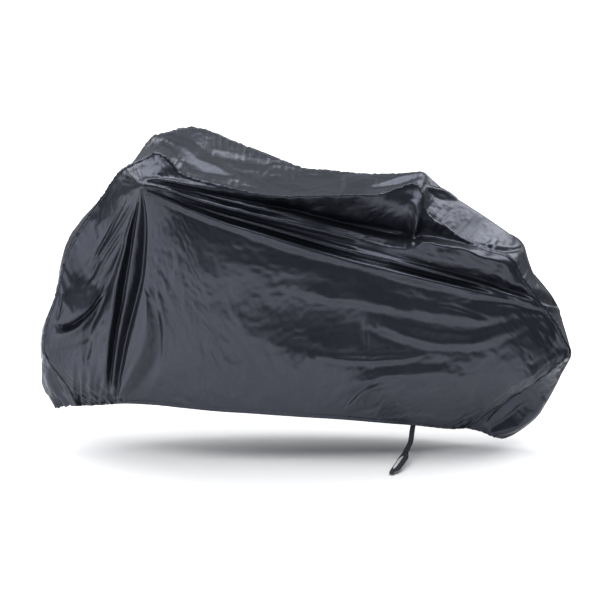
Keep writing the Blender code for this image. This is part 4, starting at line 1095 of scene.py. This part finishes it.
def puckered(sections):
    # the stitched seams gather a little, so both cloths wander by a few millimetres together
    moved = sections.copy()
    for first, shift in ((0, 0.0), (6, 50.0)):
        lengths = lengthsAlong(sections[:, first:first + 3])
        ends = np.clip(np.minimum(lengths, lengths[-1] - lengths) / pucker["fade"], 0.0, 1.0)
        for index, length in enumerate(lengths):
            small = noise.noise((length / pucker["smallMm"], shift, 0.0))
            large = noise.noise((length / pucker["largeMm"], shift, 7.0))
            for column, (fine, coarse) in ((1, pucker["up"]), (2, pucker["out"])):
                moved[index, first + column] += ends[index] * (fine * small + coarse * large)
    return moved


def stripGrid(sections):
    rows, across = stripCut["rows"], stripCut["across"]
    crownLengths = lengthsAlong(placeOnSide(sections[:, 3:6], -1) / mm)
    wanted = np.linspace(0.0, crownLengths[-1], rows)
    grid = stripSurface(atLengths(sections, crownLengths, wanted))
    normals = gridNormals(grid)
    if normals[rows // 2, across // 2, 2] < 0:
        normals = -normals
    seen = seenSquare(grid.reshape(-1, 3))
    facing = normals.reshape(-1, 3) @ np.array([0.0, -math.cos(lean), math.sin(lean)])
    lift = np.zeros(len(seen))
    for fold in stripFolds:
        lift += foldHeight(seen, fold) * np.clip(facing * stripDrape["turnedAway"], 0.0, 1.0)
    crumpled, mask = heightIn(seen, stripCrumples, crumple, stripDrape["crumpleShift"])
    lift += crumpled
    lift = lift.reshape(rows, across)
    fromEnd = np.minimum(np.arange(rows), np.arange(rows)[::-1]) * crownLengths[-1] / (rows - 1)
    hemAcross = np.linspace(0.0, stripDrape["hemAcross"], across)
    for row in np.nonzero(fromEnd < stripDrape["pleatsTo"])[0]:
        end = stripDrape["rearHem"] if row > rows // 2 else stripDrape["frontHem"]
        lift[row] += elasticPleats(end + hemAcross * (1 if end > 0 else -1),
                                   np.full(across, fromEnd[row]), stripDrape["pleatShift"] + end)
    fade = np.clip((1.0 - np.abs(np.linspace(-1.0, 1.0, across))) / stripDrape["edgeFade"],
                   0.0, 1.0)
    grid = grid + normals * (lift * fade[None])[:, :, None] * mm
    half = stripDrape["cutHalf"]
    return grid, cutGrid(np.linspace(-half, half, across), wanted), mask


def buildSheets(taffeta):
    whole = [row if len(row) == 10 else (*row[:6], *row[:3], row[6]) for row in stripSections]
    sections = puckered(splineRows(whole, steps["section"]))
    grids, made = {}, []
    for name, seam, rest, folds, panel in (
            ("near", sections[:, 0:3], nearRest, nearFolds, panelNear),
            ("far", sections[:, 6:9], farRest, farFolds, panelFar)):
        grid, cut, mask = panelSurface(seam, rest, folds, panel)
        grids[name] = settled(name, grid)
        made.append(sheetObject(name + "Panel", grids[name], cut, mask, panel["thick"], taffeta,
                                panel["side"] < 0))
        say(name + " panel draped")
    grid, cut, mask = stripGrid(sections)
    grids["strip"] = settled("strip", grid)
    made.append(sheetObject("centreStrip", grids["strip"], cut, mask, stripCut["thick"], taffeta,
                            True))
    say("centre strip draped")
    return (*made, grids)


def awayLines(grid, distances):
    # points at these distances (mm) from the first line of a grid laid out (along, away)
    reach = 30
    return np.array([atLengths(line[:reach], lengthsAlong(line[:reach]) / mm, distances)
                     for line in grid])


def evenAlong(band, count):
    lengths = lengthsAlong(band[:, 0])
    even = atLengths(band.reshape(len(band), -1), lengths, np.linspace(0.0, lengths[-1], count))
    return even.reshape(count, band.shape[1], 3)


insideLine = {"share": (0.8, 0.0, 0.0), "middle": (-0.05, 0.0, -0.45)}


def outwardNormals(band):
    # away from a line that runs low through the middle of the cover
    normals = gridNormals(band)
    inside = band * np.array(insideLine["share"]) + np.array(insideLine["middle"])
    flip = np.sum(normals * (band - inside), axis=2) < 0
    normals[flip] = -normals[flip]
    return normals


# Away is mm from the edge of the sheets, raise is how far the doubled cloth stands up there.
sewing = {
    "seamAway": (9.5, 7.5, 3.6), "seamRaise": (0.3, 1.7, 1.5, 3.4, 1.5, 1.7, 0.3),
    "farRaise": 0.6,             # the far seam is pressed flatter
    "hemAway": (0.0, 1.6, 6.0, 11.0, 15.0, 16.5), "hemRaise": (0.5, 1.3, 1.2, 1.2, 1.3, 0.25),
    "seamCount": 900, "hemCount": 380, "endCount": 70,
    "seamStitches": (1, 5), "hemStitches": (4,),
    "puckerMm": 11.0, "puckerDeep": 1.3, "puckerLeast": 0.25,
    "bandWidth": 15.0, "crumpled": 0.5, "thick": 0.0008,
    "stitchStep": 4.4, "stitchLong": 2.9, "stitchThick": 0.62,
}


def sewnBand(name, band, raises, material, shift):
    # a doubled, stitched band of cloth lying on the sheets, with its puckers
    normals = outwardNormals(band)
    along = lengthsAlong(band[:, band.shape[1] // 2]) / mm
    lift = np.zeros(band.shape[:2])
    for row, length in enumerate(along):
        for column, rise in enumerate(raises):
            wave = noise.noise((length / sewing["puckerMm"], column * 0.35, shift))
            lift[row, column] = rise * max(sewing["puckerLeast"],
                                           1.0 + sewing["puckerDeep"] * wave)
    raised = band + normals * lift[:, :, None] * mm
    cut = cutGrid(np.linspace(0.0, sewing["bandWidth"], band.shape[1]), along)
    mask = np.full(band.shape[:2], sewing["crumpled"])
    ahead = np.cross(raised[1, 0] - raised[0, 0], raised[0, 1] - raised[0, 0])
    outward = float(np.dot(ahead, normals[0, 0])) < 0
    piece = sheetObject(name, raised, cut, mask, sewing["thick"], material, outward)
    return piece, raised, normals


def stitchRun(points, normals):
    # centres, directions and normals of the stitches along a line
    lengths = lengthsAlong(points) / mm
    count = max(2, int(lengths[-1] / sewing["stitchStep"]))
    wanted = (np.arange(count) + 0.5) * lengths[-1] / count
    ahead = atLengths(points, lengths, np.minimum(wanted + 1.0, lengths[-1])) \
        - atLengths(points, lengths, np.maximum(wanted - 1.0, 0.0))
    return atLengths(points, lengths, wanted), unit(ahead), atLengths(normals, lengths, wanted)


def tubeFaces(first, rings, size):
    # walls and both end caps of a closed tube whose rings start at this point
    faces = []
    for ring in range(rings - 1):
        for corner in range(size):
            a = first + ring * size + corner
            b = first + ring * size + (corner + 1) % size
            faces.append((a, b, b + size, a + size))
    faces.append(tuple(first + k for k in range(size - 1, -1, -1)))
    faces.append(tuple(first + (rings - 1) * size + k for k in range(size)))
    return faces


def faceOut(piece):
    mesh = bmesh.new()
    mesh.from_mesh(piece.data)
    bmesh.ops.recalc_face_normals(mesh, faces=mesh.faces[:])
    mesh.to_mesh(piece.data)
    mesh.free()


def stitchObject(name, runs, thread):
    # every stitch a short thread, tapered where it enters the cloth: place, width and height
    rings = ((-0.5, 0.15, -0.3), (-0.32, 0.9, 0.15), (0.32, 0.9, 0.15), (0.5, 0.15, -0.3))
    long, thick = sewing["stitchLong"], sewing["stitchThick"]
    points, faces = [], []
    for centres, ahead, out in runs:
        for c, a, o, d in zip(centres, ahead, out, unit(np.cross(ahead, out))):
            faces += tubeFaces(len(points), len(rings), 4)
            for place, wide, rise in rings:
                middle = c + a * place * long * mm + o * rise * thick * mm
                r = wide * thick * mm / 2
                points += [tuple(middle + way * r) for way in (d, o, -d, -o)]
    piece = newPiece(name, points, faces, thread)
    faceOut(piece)
    return piece


def sewCover(grids, taffeta, thread):
    strip = grids["strip"]
    made = {}
    runs = {"near": [], "far": [], "strip": []}

    def sew(name, band, raises, shift, stitched, run):
        made[name], raised, normals = sewnBand(name, band, raises, taffeta, shift)
        for column in stitched:
            runs[run].append(stitchRun(raised[:, column], normals[:, column]))

    away = [0.0, *sewing["seamAway"][::-1]]
    for side, edge, press, shift in (("near", strip, 1.0, 3.0),
                                     ("far", strip[:, ::-1], sewing["farRaise"], 8.0)):
        panel = grids[side]
        down = np.flip(panel, axis=0).transpose(1, 0, 2)
        lower, upper = (evenAlong(awayLines(sheet, away), sewing["seamCount"])
                        for sheet in (down, edge))
        sew(side + "Seam", np.concatenate([lower[:, :0:-1], upper], axis=1),
            [rise * press for rise in sewing["seamRaise"]], shift, sewing["seamStitches"], side)
        band = evenAlong(awayLines(panel.transpose(1, 0, 2), sewing["hemAway"]),
                         sewing["hemCount"])
        sew(side + "Hem", band, sewing["hemRaise"], 14.0, sewing["hemStitches"], side)
    for end, edge in (("front", strip), ("rear", strip[::-1])):
        band = evenAlong(awayLines(edge.transpose(1, 0, 2), sewing["hemAway"]),
                         sewing["endCount"])
        sew(end + "Hem", band, sewing["hemRaise"], 21.0, sewing["hemStitches"], "strip")
    for side, found in runs.items():
        made[side + "Stitches"] = stitchObject(side + "Stitches", found, thread)
    say("seams, hems and stitches sewn")
    return made


tieLook = {
    # from inside the hem down to the loop's end, in mm above the ground
    "path": [(408, -112, 146), (404, -113, 122), (400, -118, 98), (394, -138, 68),
             (374, -178, 44), (350, -228, 28), (322, -286, 13)],
    "rings": 110, "width": 18.0, "thick": 1.9, "across": (1.0, -0.18, 0.0),
    "split": 0.47, "join": 0.965, "overlap": 0.05,     # where the two legs part and meet again
    "rightAway": 11.5, "rightTilt": 0.12, "rightNarrow": 0.30,
    "leftAway": 13.0, "leftTurn": 58.0, "leftNarrow": 0.35,
    "swayMm": 1.2, "swayTurns": 21.0, "bevelled": 0.06, "smoothUnder": 40.0,
}


def sweepBand(points, faces, uvs, centres, wides, width):
    # one flat band with rounded edges along its middle line
    run = np.gradient(centres, axis=0)
    run /= np.linalg.norm(run, axis=1)[:, None]
    wides = wides - np.sum(wides * run, axis=1)[:, None] * run
    wides /= np.linalg.norm(wides, axis=1)[:, None]
    up = np.cross(wides, run)
    half, t, inner = 0.5, tieLook["thick"] / 2, 0.5 - tieLook["bevelled"]
    lower = [(-half, -0.4 * t), (-inner, -t), (-0.17, -t), (0.17, -t), (inner, -t),
             (half, -0.4 * t)]
    outline = lower + [(-a, -n) for a, n in lower]
    faces += tubeFaces(len(points), len(centres), len(outline))
    for c, w, u, wide, length in zip(centres, wides, up, width, lengthsAlong(centres)):
        for a, n in outline:
            points.append(tuple((c + w * a * wide + u * n - mountPoint) * mm))
            uvs.append((a * wide * mm, length * mm))


def webbingTie(webbing):
    look = tieLook
    path = splineRows(look["path"], steps["tie"])
    lengths = lengthsAlong(path)
    path = atLengths(path, lengths, np.linspace(0.0, lengths[-1], look["rings"]))
    along = np.linspace(0.0, 1.0, look["rings"])
    run = np.gradient(path, axis=0)
    run /= np.linalg.norm(run, axis=1)[:, None]
    across = np.array(look["across"])
    wides = across[None] - (run @ across)[:, None] * run
    wides /= np.linalg.norm(wides, axis=1)[:, None]
    up = np.cross(wides, run)
    points, faces, uvs = [], [], []
    neck = along <= look["split"] + look["overlap"]
    sway = look["swayMm"] * np.sin(along * look["swayTurns"])
    sweepBand(points, faces, uvs, path[neck] + up[neck] * sway[neck][:, None], wides[neck],
              np.full(neck.sum(), look["width"]))

    legs = along >= look["split"] - look["overlap"]
    path, wides, up = path[legs], wides[legs], up[legs]
    part = np.clip((along[legs] - look["split"]) / (look["join"] - look["split"]), 0.0, 1.0)
    spread = np.minimum(1.0, part * 3.2) * np.minimum(1.0, 0.30 + (1.0 - part) * 3.0)
    spread = spread * spread * (3 - 2 * spread)
    narrowing = np.clip(part * 8 - 7, 0, 1)
    right = path + wides * (look["rightAway"] * spread)[:, None] \
        + up * (2.2 + 1.0 * np.sin(part * 3.0))[:, None]
    sweepBand(points, faces, uvs, right, wides + up * look["rightTilt"],
              look["width"] * (1.0 - look["rightNarrow"] * narrowing))
    turn = np.radians(look["leftTurn"]) * np.minimum(1.0, part * 3.0) \
        * np.minimum(1.0, 0.25 + (1.0 - part) * 4.0)
    left = path - wides * (look["leftAway"] * spread)[:, None] \
        + up * (4.6 + 5.5 * spread)[:, None]
    sweepBand(points, faces, uvs, left,
              wides * np.cos(turn)[:, None] - up * np.sin(turn)[:, None],
              look["width"] * (1.0 - look["leftNarrow"] * narrowing))
    piece = newPiece("webbingTie", points, faces, webbing)
    addCut(piece.data, np.array(uvs))
    faceOut(piece)
    pickOnly(piece)
    bpy.ops.object.shade_smooth_by_angle(angle=math.radians(look["smoothUnder"]))
    say("webbing tie made")
    return piece


addCamera()
addLights()
addStage()
say("camera, lights and paper set")
taffeta = coatedTaffeta()
webbing = wovenWebbing()
thread = sewingThread()
nearPanel, farPanel, centreStrip, grids = buildSheets(taffeta)
sewn = sewCover(grids, taffeta, thread)
tie = webbingTie(webbing)

for piece, node in ((nearPanel, "side_panel_near"), (farPanel, "side_panel_far"),
                    (centreStrip, "centre_strip")):
    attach(piece, "root")
    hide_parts(node)
for piece in sewn.values():
    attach(piece, "root")
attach(tie, "root")
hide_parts("webbing_tie")

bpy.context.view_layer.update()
say("done")
